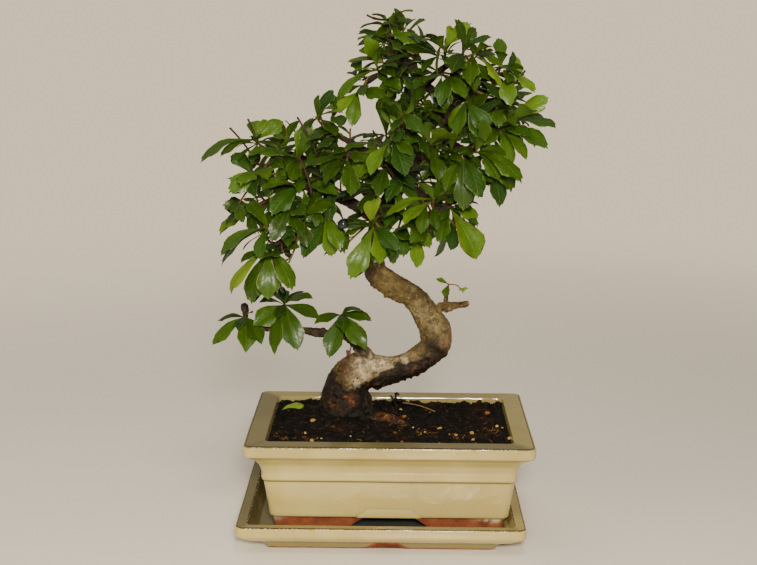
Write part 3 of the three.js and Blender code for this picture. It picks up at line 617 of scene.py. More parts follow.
def fired_shape(grid, pools_and_shades, **layers):
    """The closed shape of a fired piece. Its olive, for thick glaze and for painted shade, is the
    strongest of the pools and shades at a point. Each layer holds one number a ring or one a point."""
    layers["pool"] = np.max(np.broadcast_arrays(*pools_and_shades), axis=0)
    shape = closed_tube(grid, layers={})
    for name, numbers in layers.items():
        spread = np.broadcast_to(numbers, grid.shape[:2])
        shape["layers"][name] = np.append(spread, [spread[0, 0], spread[-1, 0]])
    shape["layers"]["lime"] = lime(shape["points"])
    return shape


# %% Saucer
SAUCER_WAVES = ((0.35, 55, 3), (0.1, 14, 4))
WAVES_FROM, WAVES_FULL = 6, 14
SAUCER_FOOT, SAUCER_FOOT_TOP = 71.8, 7
ARCH_MIDDLE, ARCH_LOW, ARCH_TOP, ARCH_HEIGHT = 5, 15, 9, 5
# Bare clay shows up to a height, higher in the arch in front.
SAUCER_BARE, BARE_FADE, ARCH_BARE, ARCH_BARE_HALF = 1.6, 1.2, 6, 14
# How thick the glaze lies in the creases, from 0 to 1. The same olive is painted shade on the
# underside, on the rim and on the inner wall, where the pot's shadow is painted, all lighter toward the
# right.
CREASE_POOL_AND_SHADE, CREASE_REACH, UNDERSIDE = 0.75, 2.2, 9
RIM_SHADE, RIM_SHADE_TURN, RIM_FROM = 0.7, 0.44, 24.6
WALL_SHADOW, WALL_SHADOW_TURN, INNER_EDGE = 0.6, 0.4, 115.6
# Under the pot the saucer's floor turns grey with dirt and painted shade, from 18 to 26 mm inside the pot's
# outline.
DIRT_AND_SHADE, DIRT_SHADE_BEGINS, DIRT_SHADE_FULL = 0.95, -18, -26
saucer_points = ring_points(saucer_rings, saucer_stations, np.zeros(2))
ring_height, to_right = saucer_rings[:, 2:3], saucer_stations[:, 2]
arch_side = np.abs(saucer_points[..., 0] - ARCH_MIDDLE)
arch_line = ARCH_HEIGHT * np.clip((ARCH_LOW - arch_side) / (ARCH_LOW - ARCH_TOP), 0, 1)
in_front = (saucer_points[..., 1] < -SAUCER_FOOT) & (ring_height < SAUCER_FOOT_TOP)
in_arch = in_front & (saucer_points[..., 2] < arch_line)
saucer_points[..., 2] = np.where(in_arch, arch_line, saucer_points[..., 2])
inwards = sway(saucer_points, SAUCER_WAVES) * soft_step(WAVES_FROM, WAVES_FULL, saucer_points[..., 2])
saucer_points[..., :2] -= inwards[..., None] * saucer_stations[None, :, 2:]
arch_front = np.exp(-(((arch_side - 1) / ARCH_BARE_HALF) ** 4)) * (saucer_points[..., 1] < -70)
bare_height = saucer_points[..., 2] - ARCH_BARE * arch_front
is_inner_wall = (saucer_rings[:, 0:1] < INNER_EDGE) & is_inner_half(saucer_rings)
pools_and_shades = [
    CREASE_POOL_AND_SHADE * bell(near_rings(saucer_rings, (109, 12), (106, 7.6)), CREASE_REACH),
    # painted shade on the saucer's underside
    CREASE_POOL_AND_SHADE * (ring_height < UNDERSIDE),
    # painted shade on the rim, darkest on the left
    (RIM_SHADE - RIM_SHADE_TURN * to_right) * (ring_height > RIM_FROM),
    # the pot's painted shadow on the inner wall, darkest on the left
    (WALL_SHADOW - WALL_SHADOW_TURN * to_right) * is_inner_wall,
]
from_pot = np.abs(saucer_points[..., :2] - POT_MIDDLE) - POT_HALF
is_floor = is_inner_wall & (ring_height < SAUCER_FLOOR + 1)
saucer_shape = fired_shape(
    saucer_points, pools_and_shades, edge=near_rings(saucer_rings, (123.6, 25), (115.6, 25)) * (1 + np.abs(to_right)),
    frost=near_rings(saucer_rings, (124.8, 24.2), (115.2, 24.4)),
    bare=soft_step(SAUCER_BARE + BARE_FADE, SAUCER_BARE - BARE_FADE, bare_height),
    dirt=DIRT_AND_SHADE * soft_step(DIRT_SHADE_BEGINS, DIRT_SHADE_FULL, from_pot.max(-1)) * is_floor)
saucer = add_piece(make_mesh("glazed_saucer", [saucer_shape], GLAZE), "glaze", "saucer")
print(measure(saucer))

# %% [markdown]
# ## The pot's foot and band
#
# The foot has a wide arch in each side. On the grid an arch is a clamp: below the arch's line a point
# is lifted to the line, outside, under and inside the foot alike. Over the long arches a low band
# stands out of the wall: a step outwards inside a sloped outline.

# %% Pot
POT_WAVES = ((0.3, 60, 5), (0.12, 16, 6))
POT_WAVES_FULL = 34
LONG_ARCH, SHORT_ARCH = (39.5, 21), (27, 13)
ARCH_BASE, ARCH_CEILING = FOOT_BOTTOM - 1, FOOT_CEILING - 0.1
BAND_LOW, BAND_HIGH, BAND_RISE, BAND_PROUD = 28.5, 20, 8.1, 2.4
# The band leans back: it stands out fully at its foot and by little more than half above.
BAND_LEAN_TOP, BAND_LEAN_HEIGHT, BAND_TOP_SHARE = 31, 8, 0.55
# How thick the glaze lies in the crease and under the rim, and round the band. Painted shade in the
# same olive lies on the rim's top, lighter toward the right and the back, inside, and on the lip from the
# cove up.
GROOVE_POOL, GROOVE_REACH = 0.95, 1.1
BAND_POOL, BAND_REACH = 0.75, 0.9
TOP_SHADE, TOP_SHADE_RIGHT, TOP_SHADE_BACK = 0.68, 0.22, 0.26
INNER_SHADE, INNER_INSET = 0.62, 17.5
LIP_SHADE, LIP_FROM, LIP_FULL, LIP_INSET = 0.15, 64, 76, 16


def arch_height(side, arch):
    """Height of an arch's line beside its middle: it falls in a straight slope to its foot."""
    low, top = arch
    return ARCH_BASE + (ARCH_CEILING - ARCH_BASE) * np.clip((low - side) / (low - top), 0, 1)


pot_points = ring_points(pot_rings, pot_stations, np.array(POT_MIDDLE))
local = pot_points[..., :2] - POT_MIDDLE
ring_half, ring_height = pot_rings[:, 0:1], pot_rings[:, 2:3]
on_long = np.abs(pot_stations[:, 3]) > 0.71
arch_line = np.where(on_long, arch_height(np.abs(local[..., 0]), LONG_ARCH),
                     arch_height(np.abs(local[..., 1]), SHORT_ARCH))
pot_points[..., 2] = np.maximum(pot_points[..., 2], arch_line)
height = pot_points[..., 2]
is_outside = (np.arange(len(pot_rings)) > np.argmin(ring_height))[:, None] & (ring_height < 50) & on_long
slope = (BAND_LOW - BAND_HIGH) / BAND_RISE
into_band = BAND_LOW - slope * (height - GLAZE_BOTTOM) - np.abs(local[..., 0])
into_band = np.minimum(into_band, 1.2 * (GLAZE_BOTTOM + BAND_RISE - height))
leaning = BAND_TOP_SHARE + (1 - BAND_TOP_SHARE) * np.clip((BAND_LEAN_TOP - height) / BAND_LEAN_HEIGHT, 0, 1)
step_out = BAND_PROUD * soft_step(-0.4, 1.5, into_band) * leaning * is_outside
step_out *= soft_step(GLAZE_BOTTOM - 0.9, GLAZE_BOTTOM + 0.3, height)
inwards = sway(pot_points, POT_WAVES) * soft_step(GLAZE_BOTTOM, POT_WAVES_FULL, height)
pot_points[..., :2] += (step_out - inwards)[..., None] * pot_stations[None, :, 2:]

# %% Glaze on the pot
grooves = near_rings(pot_rings, (109.8, CREASE - 0.4), (123.6, 83.8))
shade_on_top = TOP_SHADE - TOP_SHADE_RIGHT * pot_stations[:, 2] - TOP_SHADE_BACK * pot_stations[:, 3]
is_within = is_inner_half(pot_rings) & (ring_half < POT_HALF[0] - INNER_INSET)
on_lip = soft_step(LIP_FROM, LIP_FULL, ring_height) * (ring_half > POT_HALF[0] - LIP_INSET)
pools_and_shades = [
    # The rim's top, the inside and the lip get painted shade; the crease and the band get thick glaze.
    GROOVE_POOL * bell(grooves, GROOVE_REACH), shade_on_top * (ring_height > POT_TOP - 1), INNER_SHADE * is_within,
    LIP_SHADE * on_lip, BAND_POOL * bell(into_band + 0.3, BAND_REACH) * is_outside,
]
pot_shape = fired_shape(
    pot_points, pools_and_shades, edge=near_rings(pot_rings, (123.2, 94)) * (1 + np.abs(pot_stations[:, 2])),
    frost=near_rings(pot_rings, (124.7, 93.1)),
    bare=soft_step(GLAZE_BOTTOM + 0.6, GLAZE_BOTTOM - 0.5, height), dirt=0.0)
pot = add_piece(make_mesh("glazed_pot", [pot_shape], GLAZE), "glaze", "pot")
print(measure(pot))

# %% [markdown]
# ## Soil
#
# The soil is nearly black, in crumbs of every size, with bits of bark and grains of tan and orange
# clay. Its top is a height for each place of a fine grid: the level and the mound round the trunk,
# plus crumbs from noise. The grid's border bends down to a skirt, and a pole closes the bottom. Grains
# lie on it as small lumps with few faces, and thin roots and splinters lie between them.

# %% Soil
SOIL_LEVEL = 88.2
MOUND_HEIGHT, MOUND_SPREAD = 6.4, 27
TRUNK_PLACE = (-34, 33)
SOIL_HALF, SOIL_CORNER = np.array([106.1, 66.1]), 4.6
SOIL_BOTTOM_HALF, SOIL_BOTTOM = np.array([96.7, 56.7]), 33.1
SOIL_STEP = 1.15


def soil_height(x, y):
    """The level, a mound round the trunk, and low lumps."""
    from_trunk = np.hypot(x - TRUNK_PLACE[0], y - TRUNK_PLACE[1])
    mound = MOUND_HEIGHT * np.exp(-((from_trunk / MOUND_SPREAD) ** 2) / 2)
    lumps = 0.5 * np.sin(x / 5.3 + 1) * np.sin(y / 6.1 + 2) + 0.3 * np.sin(x / 11 - y / 9)
    return SOIL_LEVEL + mound + lumps


def crumbs(x, y):
    """Rise of the crumbs at a place: humps at three sizes, kept by their upper halves."""
    places = np.stack([x, y, np.zeros_like(x)], axis=-1)
    coarse, middle, fine = (noise(places, size, seed) for size, seed in ((7, 11), (3.1, 12), (1.4, 13)))
    return 2.1 * np.abs(coarse) + 1.5 * np.abs(middle) + 0.6 * fine - 1.3


def into_corner(x, y):
    """Pulls the corners of a square grid in to the rounded rectangle of the pot's inside."""
    inner = SOIL_HALF - SOIL_CORNER
    beyond = np.stack([np.abs(x), np.abs(y)], axis=-1) - inner
    length = lengths(np.maximum(beyond, 0))
    square = np.maximum(beyond, 0).max(axis=-1)
    pull = np.where(length > 0, square / np.maximum(length, 1e-9), 1)[..., None]
    kept = np.where(beyond > 0, inner + beyond * pull, inner + beyond)
    return np.sign(x) * kept[..., 0], np.sign(y) * kept[..., 1]


def soil_shape():
    """The top grid, its border's walls down to the bottom, and the bottom's fan about a pole."""
    columns, rows = (int(count) for count in 2 * SOIL_HALF // SOIL_STEP)
    x, y = np.meshgrid(np.linspace(-1, 1, columns) * SOIL_HALF[0], np.linspace(-1, 1, rows) * SOIL_HALF[1])
    x, y = into_corner(x, y)
    rim = np.minimum(SOIL_HALF[0] - np.abs(x), SOIL_HALF[1] - np.abs(y))
    x, y = x + POT_MIDDLE[0], y + POT_MIDDLE[1]
    z = soil_height(x, y) + crumbs(x, y) * soft_step(-1, 4, rim)
    top = np.stack([x, y, z], axis=-1)
    number = np.arange(rows * columns).reshape(rows, columns)
    loop = np.concatenate([number[0, :-1], number[:-1, -1], number[-1, :0:-1], number[:0:-1, 0]])
    middle = np.array([*POT_MIDDLE, 0])
    below = (top.reshape(-1, 3)[loop] - middle) * [*(SOIL_BOTTOM_HALF / SOIL_HALF), 0]
    below = below + middle + [0, 0, SOIL_BOTTOM]
    points = np.vstack([top.reshape(-1, 3), below, middle + [0, 0, SOIL_BOTTOM]])
    under = rows * columns + np.arange(len(loop))
    pole = np.full(len(loop), len(points) - 1)
    walls = np.stack([under, np.roll(under, -1), np.roll(loop, -1), loop], axis=-1)
    fan = np.stack([pole, np.roll(under, -1), under], axis=-1)
    return {"points": points, "faces": [grid_faces(rows, columns), walls, fan]}


soil_ground = soil_shape()
print("soil from", soil_ground["points"].min(0).round(1), "to", soil_ground["points"].max(0).round(1))

# %% Crumbs and grains
GRAIN_COUNT = 620
FIRST_LARGE, FIRST_BACK = 900, 1200
BROWN, REDDISH, ORANGE, TAN, CREAM = 0.1, 0.3, 0.5, 0.72, 0.95
# Grains that stand out: place, size and colour.
LARGE_GRAINS = [
    (-36, -17, 2.6, BROWN), (-44, -11, 2.1, REDDISH), (-68, -40, 2.4, REDDISH), (-92, -21, 2.6, BROWN),
    (-86, -41, 2.1, REDDISH), (-63, 4, 2.5, TAN), (-68, -25, 1.3, CREAM), (-61, -48, 2.2, TAN),
    (-56, -40, 1.2, CREAM), (-53, -39, 0.9, CREAM), (-100, 22, 1.6, TAN), (52, -11, 2.1, TAN),
    (66, -40, 1.2, CREAM), (80, -21, 2, TAN), (80, -38, 1.8, CREAM), (82, -52, 2.6, ORANGE),
    (98, 37, 2.5, ORANGE), (104, -3, 1.8, CREAM), (108, -6, 1.2, TAN), (112, -36, 2.1, TAN),
    (50, -50, 1.6, CREAM), (21, 22, 2.4, ORANGE), (22, 19, 1.8, BROWN), (17, 42, 1.5, CREAM),
    (28, -6, 1.1, CREAM), (33, -9, 0.9, TAN), (12, 8, 1.4, ORANGE), (-17, -51, 1.4, BROWN),
    (-27, -21, 1.3, REDDISH), (90, -11, 1.4, BROWN), (95, -18, 1.6, BROWN), (70, -27, 1.6, BROWN),
    (48, -31, 1.5, REDDISH), (36, -14, 1.7, BROWN), (43, -20, 1.3, BROWN), (-101, 0, 1.5, BROWN),
]


def lump(place, size, seed, rings=4, sides=6, squash=0.72, rough=0.6):
    """A lump: a small ball, squashed and dented by noise."""
    lean = np.linspace(0.14, 0.86, rings) * np.pi
    grid = ball(lean, full_turn(sides) + 6 * draw(seed, 1, 0)) * [1, 1, squash]
    shape = closed_tube(grid * size * (1 + rough * noise(grid + 5.1 * seed, 0.9, 21))[..., None])
    return {**shape, "points": shape["points"] + place}


def grain_shape(x, y, size, clay, tone, seed):
    """A lump half sunk in the soil, dark as soil or clay of a tone."""
    place = np.array([x, y, soil_height(x, y) + crumbs(x, y) + 0.25 * size])
    return {**lump(place, size, seed), "layers": {"clay": clay, "tone": tone}}


across, deep, large, clay, tone = (draw(np.arange(GRAIN_COUNT), 5, k) for k in range(1, 6))
places = POT_MIDDLE + (2 * np.column_stack([across, deep]) - 1) * (SOIL_HALF - 3)
loose = np.column_stack([places, 0.6 + 1.3 * large ** 2, soft_step(0.82, 0.95, clay), tone ** 2])
grains = [grain_shape(*grain, k) for k, grain in enumerate(loose)]
for k, (x, y, size, tone) in enumerate(LARGE_GRAINS):
    grains.append(grain_shape(x, y, size, 1.0, tone, FIRST_LARGE + k))
# Crumbs heaped against the pot's back wall.
BACK_CRUMBS, BACK_X = 130, (-97, 111)
for k in range(BACK_CRUMBS):
    x = BACK_X[0] + (BACK_X[1] - BACK_X[0]) * (k + draw(k, 8, 5)) / BACK_CRUMBS
    y = POT_MIDDLE[1] + SOIL_HALF[1] - 2.5 - 4 * draw(k, 8, 6)
    grains.append(grain_shape(x, y, 1.6 + 2.4 * draw(k, 8, 7) ** 1.5, 0.0, 0.0, FIRST_BACK + k))
print("grains:", len(grains))

# %% Splinters and thin roots
SPLINTER_COUNT = 150
# Where they gather: a place and its reach.
SPLINTER_TUFTS = [
    (98, -8, 7), (68, -30, 8), (40, -22, 9), (14, -2, 8), (18, 20, 5), (-88, -34, 7), (-60, -44, 6),
]


def splinter_shape(x, y, seed):
    """A thin three-sided needle that lies on the crumbs and sinks at one end."""
    turn, length = 6.28 * draw(seed, 1, 15), 2 + 4 * draw(seed, 2, 15)
    t = np.array([0, 0.5, 1])[:, None]
    way = np.array([np.cos(turn), np.sin(turn)])
    flat = np.array([x, y]) + way * (t - 0.5) * length
    top = soil_height(*flat.T) + crumbs(*flat.T)
    middle = np.column_stack([flat, top + 0.5 + 1.2 * draw(seed, 3, 15) * t[:, 0]])
    across = np.array([-way[1], way[0], 0])
    radius = 0.2 + 0.22 * draw(seed, 4, 15)
    layers = {"clay": 0.75, "tone": 0.15 + 0.5 * draw(seed, 5, 15)}
    return closed_tube(rings_about(middle, radius, across, np.array([0, 0, 1]), 3), layers=layers)


splinters = []
for k in range(SPLINTER_COUNT):
    tuft_x, tuft_y, reach = SPLINTER_TUFTS[k % len(SPLINTER_TUFTS)]
    if k % 3 == 0:
        tuft_x, tuft_y, reach = *POT_MIDDLE, 0.9 * SOIL_HALF[0]
    x = tuft_x + (2 * draw(k, 6, 15) - 1) * reach
    y = tuft_y + (2 * draw(k, 7, 15) - 1) * min(reach, 0.9 * SOIL_HALF[1])
    splinters.append(splinter_shape(x, y, k))
print("splinters:", len(splinters))

# %% Soil finish and the whole soil


def make_soil_finish():
    """Near-black crumbs with brown among them, and clay grains from tan to orange."""
    finish = Finish("potting_soil", gloss=0.15)
    clouds, layer, ramp, rise = finish.clouds, finish.layer, finish.ramp, finish.rise
    fine, coarse = clouds(420, 4, 0.65), clouds(170, 4, 0.7)
    dark = finish.coated(
        ramp(coarse, (0.36, "050404"), (0.5, "120f0c"), (0.62, "231b15"), (0.76, "4c3826")),
        ("3c2415", rise(clouds(38), 0.56, 0.7), 0.35),
        ("8f8574", rise(finish.cells(230), 0.12, 0.06), rise(clouds(90, 1), 0.5, 0.6)))
    clay = ramp(finish.plus(layer("tone"), finish.centred(fine, 0.5)), (0.08, "281810"), (0.3, "4a2a18"),
                (0.5, "84582b"), (0.72, "a5803f"), (0.95, "b5a56e"))
    finish.relief(finish.plus(fine, coarse), 0.0012)
    return finish.done(finish.blend(layer("clay"), dark, clay), finish.between(fine, 0.75, 0.98))


soil_mesh = make_mesh("potting_soil", [soil_ground, *grains, *splinters], make_soil_finish())
soil = add_piece(soil_mesh, "soil", "soil")
print(measure(soil))

# %% [markdown]
# ## Limbs
#
# The tree's limbs are routes: places with a radius, from root to end. A smooth curve runs through
# them, as in the solids, and rings across it make a limb. The trunk, its roots and the two low
# branches are melted together by a voxel remesh, which closes the forks as living wood does. Noise
# pushed along the normals then gives them wrinkles and knots.

# %% Routes of the limbs
LIMBS = {
    "trunk": [
        [-34, 33, 63, 20], [-34, 33, 77, 23], [-34, 33, 92, 23.5], [-34, 33, 106, 22.3],
        [-30, 31, 122, 19.5], [-20, 30, 130, 17], [-5, 28, 130, 15.5], [8, 27, 132, 13],
        [23, 24, 138, 12.5], [35, 22, 146, 12.3], [46, 20, 157, 13.6], [48, 19, 170, 14.5],
        [43, 17, 182, 13.3], [34, 16, 195, 11.8], [24, 15, 205, 11.2], [11, 14, 212, 11.3],
        [1, 14, 219, 10.5], [-7, 14, 228, 10], [-9, 14, 245, 9], [-4, 14, 272, 8],
        [12, 13, 302, 7.5], [35, 12, 332, 6.5], [54, 11, 357, 5.5], [44, 12, 382, 4.5],
        [25, 13, 403, 3.6], [10, 14, 423, 2.8], [3, 14, 438, 1.6],
    ],
    "surface_root": [[-30, 22, 84, 9], [-14, 16, 87, 8], [1, 13, 88, 7.5], [20, 4, 85, 5], [40, -4, 80, 3]],
    "left": [
        [-3, 14, 272, 5.5], [-28, 8, 289, 5], [-51, 0, 300, 4.2], [-76, -8, 315, 3.2],
        [-105, -14, 341, 1.8],
    ],
    "left_front": [[-47, 0, 298, 3.4], [-59, -22, 284, 3], [-75, -34, 270, 2.6], [-95, -40, 259, 1.6]],
    "left_low": [[-70, -5, 310, 2.8], [-88, 14, 299, 2.4], [-106, 24, 286, 1.4]],
    "left_back": [[2, 14, 283, 4.6], [-26, 42, 302, 4], [-57, 62, 316, 3], [-89, 72, 327, 1.6]],
    "upper_left": [[16, 13, 308, 4], [-7, -14, 332, 3.4], [-31, -30, 348, 2.6], [-52, -34, 362, 1.4]],
    "front": [[-3, 14, 266, 3], [-7, -22, 281, 2.4], [-8, -44, 281, 1.4]],
    "fork": [[1, 14, 279, 4.2], [25, -10, 281, 3.6], [43, -28, 286, 2.8], [54, -38, 296, 1.5]],
    "fork_back": [[18, 13, 306, 4], [36, 44, 291, 3.2], [57, 70, 284, 1.6]],
    "right": [[54, 11, 356, 4.4], [72, -4, 362, 3.4], [88, -16, 365, 2.6], [102, -22, 363, 1.6]],
    "right_front": [[48, 12, 347, 3.8], [61, -26, 344, 3], [73, -50, 342, 1.6]],
    "right_top": [[49, 12, 375, 3.6], [67, -8, 388, 3], [84, -18, 399, 2.2], [98, -22, 405, 1.3]],
    "right_back": [[52, 12, 366, 4], [78, 44, 374, 3.2], [106, 68, 378, 1.6]],
    "top_right": [[34, 13, 393, 3.2], [52, -8, 410, 2.6], [70, -22, 419, 1.4]],
    "top_left": [[18, 14, 410, 3], [1, -8, 405, 2.5], [-16, -22, 397, 1.3]],
    "top_back": [[25, 13, 403, 3], [16, 40, 414, 2.4], [11, 58, 422, 1.3]],
    "centre_front": [[31, 12, 327, 3.8], [22, -30, 349, 3], [15, -58, 367, 1.5]],
    "centre_back": [[12, 13, 302, 4], [7, 48, 323, 3.2], [1, 80, 338, 1.6]],
    "low_left": [
        [-15, 27, 142, 5.2], [-23, 19, 156, 4.6], [-35, 12, 168, 4.2], [-51, 8, 171, 3.8],
        [-72, 6, 174, 3.3], [-94, 4, 176, 2.9], [-108, 2, 177, 2.6], [-120, 0, 181, 2.4],
        [-123, 0, 194, 2.2],
    ],
    "low_left_up": [[-91, 4, 176, 2.2], [-91, -4, 188, 1.8], [-88, -8, 197, 1.3]],
    "low_left_tip": [[-108, 2, 177, 2.2], [-114, -4, 184, 1.8], [-120, -8, 187, 1.3]],
    "low_mid": [[-39, 11, 169, 2.2], [-38, 4, 178, 1.7], [-38, -1, 186, 1.3]],
    "right_stub": [[49, 17, 196, 3.4], [62, 10, 197, 2.8], [77, 4, 201, 2.4]],
    "right_stub_up": [[56, 13, 197, 1.8], [56, 9, 206, 1.5], [58, 7, 213, 1.2]],
}
LIMBS = {name: np.array(route, float) for name, route in LIMBS.items()}
THICK_WOOD = [
    "trunk", "surface_root", "low_left", "low_left_up", "low_left_tip", "low_mid", "right_stub",
    "right_stub_up",
]
print("limbs:", len(LIMBS), "of which low and thick:", len(THICK_WOOD))

# %% Curves and rings


def curve_at(places, t):
    """Catmull-Rom: between two places a cubic whose slope at each is half the step from the place
    before to the place after. At the ends the missing place is the neighbour mirrored."""
    places = np.asarray(places, float)
    padded = np.vstack([2 * places[0] - places[1], places, 2 * places[-1] - places[-2]])
    at = np.asarray(t, float) * (len(places) - 1)
    span = np.clip(np.floor(at).astype(int), 0, len(places) - 2)
    w = (at - span)[..., None]
    before, start, end, after = (padded[span + k] for k in range(4))
    leave, arrive = (end - before) / 2, (after - start) / 2
    return (start + leave * w + (3 * (end - start) - 2 * leave - arrive) * w ** 2
            + (2 * (start - end) + leave + arrive) * w ** 3)


HEADING_STEP = 0.0001


def heading(places, t):
    """Direction of a curve: the way from a little before a place to a little after it."""
    ahead_place = curve_at(places, np.minimum(np.asarray(t) + HEADING_STEP, 1))
    return unit(ahead_place - curve_at(places, np.maximum(np.asarray(t) - HEADING_STEP, 0)))


def limb_at(name, t):
    """A limb's middle, its way on and its radius, at a share of its length."""
    middle, radius = np.split(LIMBS[name], [3], axis=1)
    return curve_at(middle, t), heading(middle, t), curve_at(radius, t)[0]


def least_axis(way):
    """The axis that a way leans to least."""
    return np.eye(3)[np.argmin(np.abs(way))]


def two_across(way):
    """Two ways square to a way and to each other."""
    first = least_axis(way)
    first = unit(first - way * (way @ first))
    return first, np.cross(way, first)


def route_length(places):
    """Length of the straight stretches."""
    return lengths(np.diff(np.asarray(places, float)[:, :3], axis=0)).sum()


def limb_rings(route, sides, step, flare=0.0):
    """Rings across a limb's curve: place plus radius times the turning direction. The radius swells
    and pinches in slow knots, flares at the root, and rounds off over the last ring."""
    count = int(np.ceil(route_length(route) / step)) + 1
    t = np.linspace(0, 1, count)
    middle, radius = np.split(curve_at(route, t), [3], axis=1)
    tangent = heading(np.asarray(route, float)[:, :3], t)
    first = least_axis(unit(middle[-1] - middle[0]))
    first = unit(first - tangent * (tangent @ first)[:, None])
    second = np.cross(tangent, first)
    turn = full_turn(sides)
    knots = 1 + 0.04 * (np.sin(3 * turn + 21 * t[:, None]) + 0.6 * np.sin(2 * turn - 34 * t[:, None]))
    girth = radius * knots * (1 + flare * np.exp(-t[:, None] * count * step / 4))
    girth[-1] *= 0.6
    return rings_about(middle, girth, first, second, sides)


def sides_for(radius, width):
    """How many sides of about a width go round a radius."""
    return int(np.clip(np.ceil(2 * np.pi * radius / width), 8, 64))


print("trunk from root to tip:", round(route_length(LIMBS["trunk"])), "mm")

# %% [markdown]
# ## Bark
#
# The lowest bulge is tan and smooth as a boulder, its saddle whitish and rough, and brown on its left
# and lower side as painted shade. Below a ragged line the wood is nearly black with damp, rust stains
# run down to the soil, and earth clings near it. Further up the trunk is olive tan with grey patches
# and the rings of old lenticels. The damp line is a height for each place across the tree, and each
# stain, like each patch of painted shade, a place with a reach and a strength. Both are kept at the
# points, where the shader reads them.

# %% Stains and painted shade on the bark
DAMP_X = [-60, -48, -44, -34, -22, -13, -2, 8, 17, 26, 34, 40, 48, 57, 70]
DAMP_Z = [150, 142, 127, 119, 119, 125, 132, 137, 142, 148, 147, 149, 152, 153, 146]
DAMP_RIGHT = 62
STAINS_AND_SHADE = {
    "damp": [
        (47, 8, 156, 9, 1), (52.6, 8, 153, 6, 1), (42, 8, 160, 6, 0.95), (37, 8, 151, 5, 0.8),
        (-17.7, 12, 148, 4, 0.95), (-14, 14, 153, 3.5, 0.8), (-10, 14, 149, 2.5, 0.7),
        (40, 6, 171, 3, 0.5), (-45, 14, 133, 5, 0.9), (-22, 12, 153, 3, 0.6),
    ],
    "pale": [
        (-22, 14, 143, 5, 0.9), (-18, 14, 137, 7, 1), (-8, 14, 145, 9, 1), (1, 12, 143, 9, 1),
        (9, 14, 147, 7, 1), (17, 14, 149, 5, 0.8), (-24, 12, 127, 5, 0.7), (3, 14, 152, 6, 0.9),
        (78.5, 4, 201, 2.2, 1), (-8, 24, 150, 8, 1), (4, 24, 150, 8, 1), (-14, 12, 130, 4, 0.7),
    ],
    "tan": [
        (-28, 12, 143, 8, 1), (56, 6, 163, 7, 1), (29, 6, 151, 6, 0.8), (61, 8, 170, 6, 0.8),
        (33, 8, 158, 5, 0.7),
    ],
    "grey": [
        (37, 6, 190, 11, 0.9), (44, 6, 180, 9, 0.8), (26, 6, 214, 3, 0.6), (17, 10, 153, 3.5, 0.9),
        (2, 6, 228, 5, 0.5), (48, 6, 196, 5, 0.6), (-5, 8, 240, 5, 0.5),
    ],
    "rust": [
        (-28, 12, 108, 4.2, 1), (-33, 12, 110, 3, 0.8), (-44, 12, 101, 5, 0.7), (-38, 12, 98, 4, 0.5),
        (29, 12, 138, 2.6, 0.8), (35, 12, 141, 2.2, 0.5), (-13, 14, 122, 2, 0.4), (3, 8, 95, 7, 1),
        (9, 8, 92, 8, 1), (17, 4, 90, 6, 0.9), (47, 8, 147, 5, 0.4), (36, 10, 155, 1.5, 0.5),
    ],
    "olive": [
        (26, 8, 205, 4, 1), (25, 8, 200, 3, 0.8), (20, 8, 208, 12, 0.5), (-6, 6, 232, 16, 0.8),
        (-4, 8, 262, 20, 0.9), (46, 6, 174, 7, 0.4), (54, 8, 188, 5, 0.7),
    ],
    "brown": [
        # The first four brown spots darken the boulder's left and lower side: painted shade.
        (-36, 12, 135, 12, 1), (-33, 11, 141, 6, 0.8), (-30, 12, 129, 6, 0.8), (-39, 12, 130, 6, 0.8),
        (58, 12, 196, 7, 1), (70, 8, 198, 8, 0.9), (57, 10, 206, 6, 1), (-20, 14, 158, 8, 0.8),
    ],
}
# Rings of old lenticels on the front, by place across and height.
LENTICELS = [
    (35, 193.4), (42, 195), (30.5, 187), (42, 183), (45.5, 186), (48.5, 184.6), (45, 173), (49, 170.6),
    (56, 174), (38.5, 200), (43, 190.7), (35, 198), (38, 176.5), (-17.7, 141.8), (-15, 135), (-28, 135),
    (11, 141), (-5, 139), (52.6, 153), (-7.6, 147.6), (-14, 150), (22, 212), (9, 214), (-2, 226),
]
LENTICEL_RADIUS = 1.35


def lenticel_distances(points):
    """Distance from a point to each lenticel, seen from the front."""
    return np.hypot(*(points[:, None, [0, 2]] - LENTICELS).transpose(2, 0, 1))


def damp_share(points):
    """1 below the damp line and 0 above it, torn by noise at two sizes, up to the elbow's right side."""
    x, z = points[:, 0], points[:, 2]
    torn = 4 * noise(points, 7, 33) + 2.2 * noise(points, 2.6, 34)
    below = soft_step(2.2, -2.2, z - np.interp(x, DAMP_X, DAMP_Z) + torn)
    return below * soft_step(DAMP_RIGHT + 4, DAMP_RIGHT, x + 0.5 * torn)


def stain_and_shade_layers(points):
    """For each kind of stain, and for the painted shade on the boulder: strength times a bell over its
    reach, the strongest one at a point, with an edge torn by noise. Damp also fills what lies under its
    line, and earth what is near soil."""
    ragged = 1 + 0.5 * noise(points, 5, 31) + 0.35 * noise(points, 2, 32)
    layers = {}
    for kind, spots in STAINS_AND_SHADE.items():
        found = np.zeros(len(points))
        for x, y, z, reach, strength in spots:
            distance = lengths((points - [x, y, z]) * [1, 0.55, 1]) * ragged
            found = np.maximum(found, strength * bell(distance, reach))
        layers[kind] = found
    layers["damp"] = np.maximum(layers["damp"], 0.95 * damp_share(points))
    distance = lenticel_distances(points)
    ring = bell(distance - LENTICEL_RADIUS, 0.55) + 0.6 * bell(distance, 0.6)
    layers["ring"] = ring.max(1) * (points[:, 1] < 22)
    over_soil = points[:, 2] - soil_height(points[:, 0], points[:, 1])
    layers["earth"] = soft_step(8.5, 4, over_soil + 2.5 * noise(points, 4, 35)) * (1 - layers["rust"])
    return layers


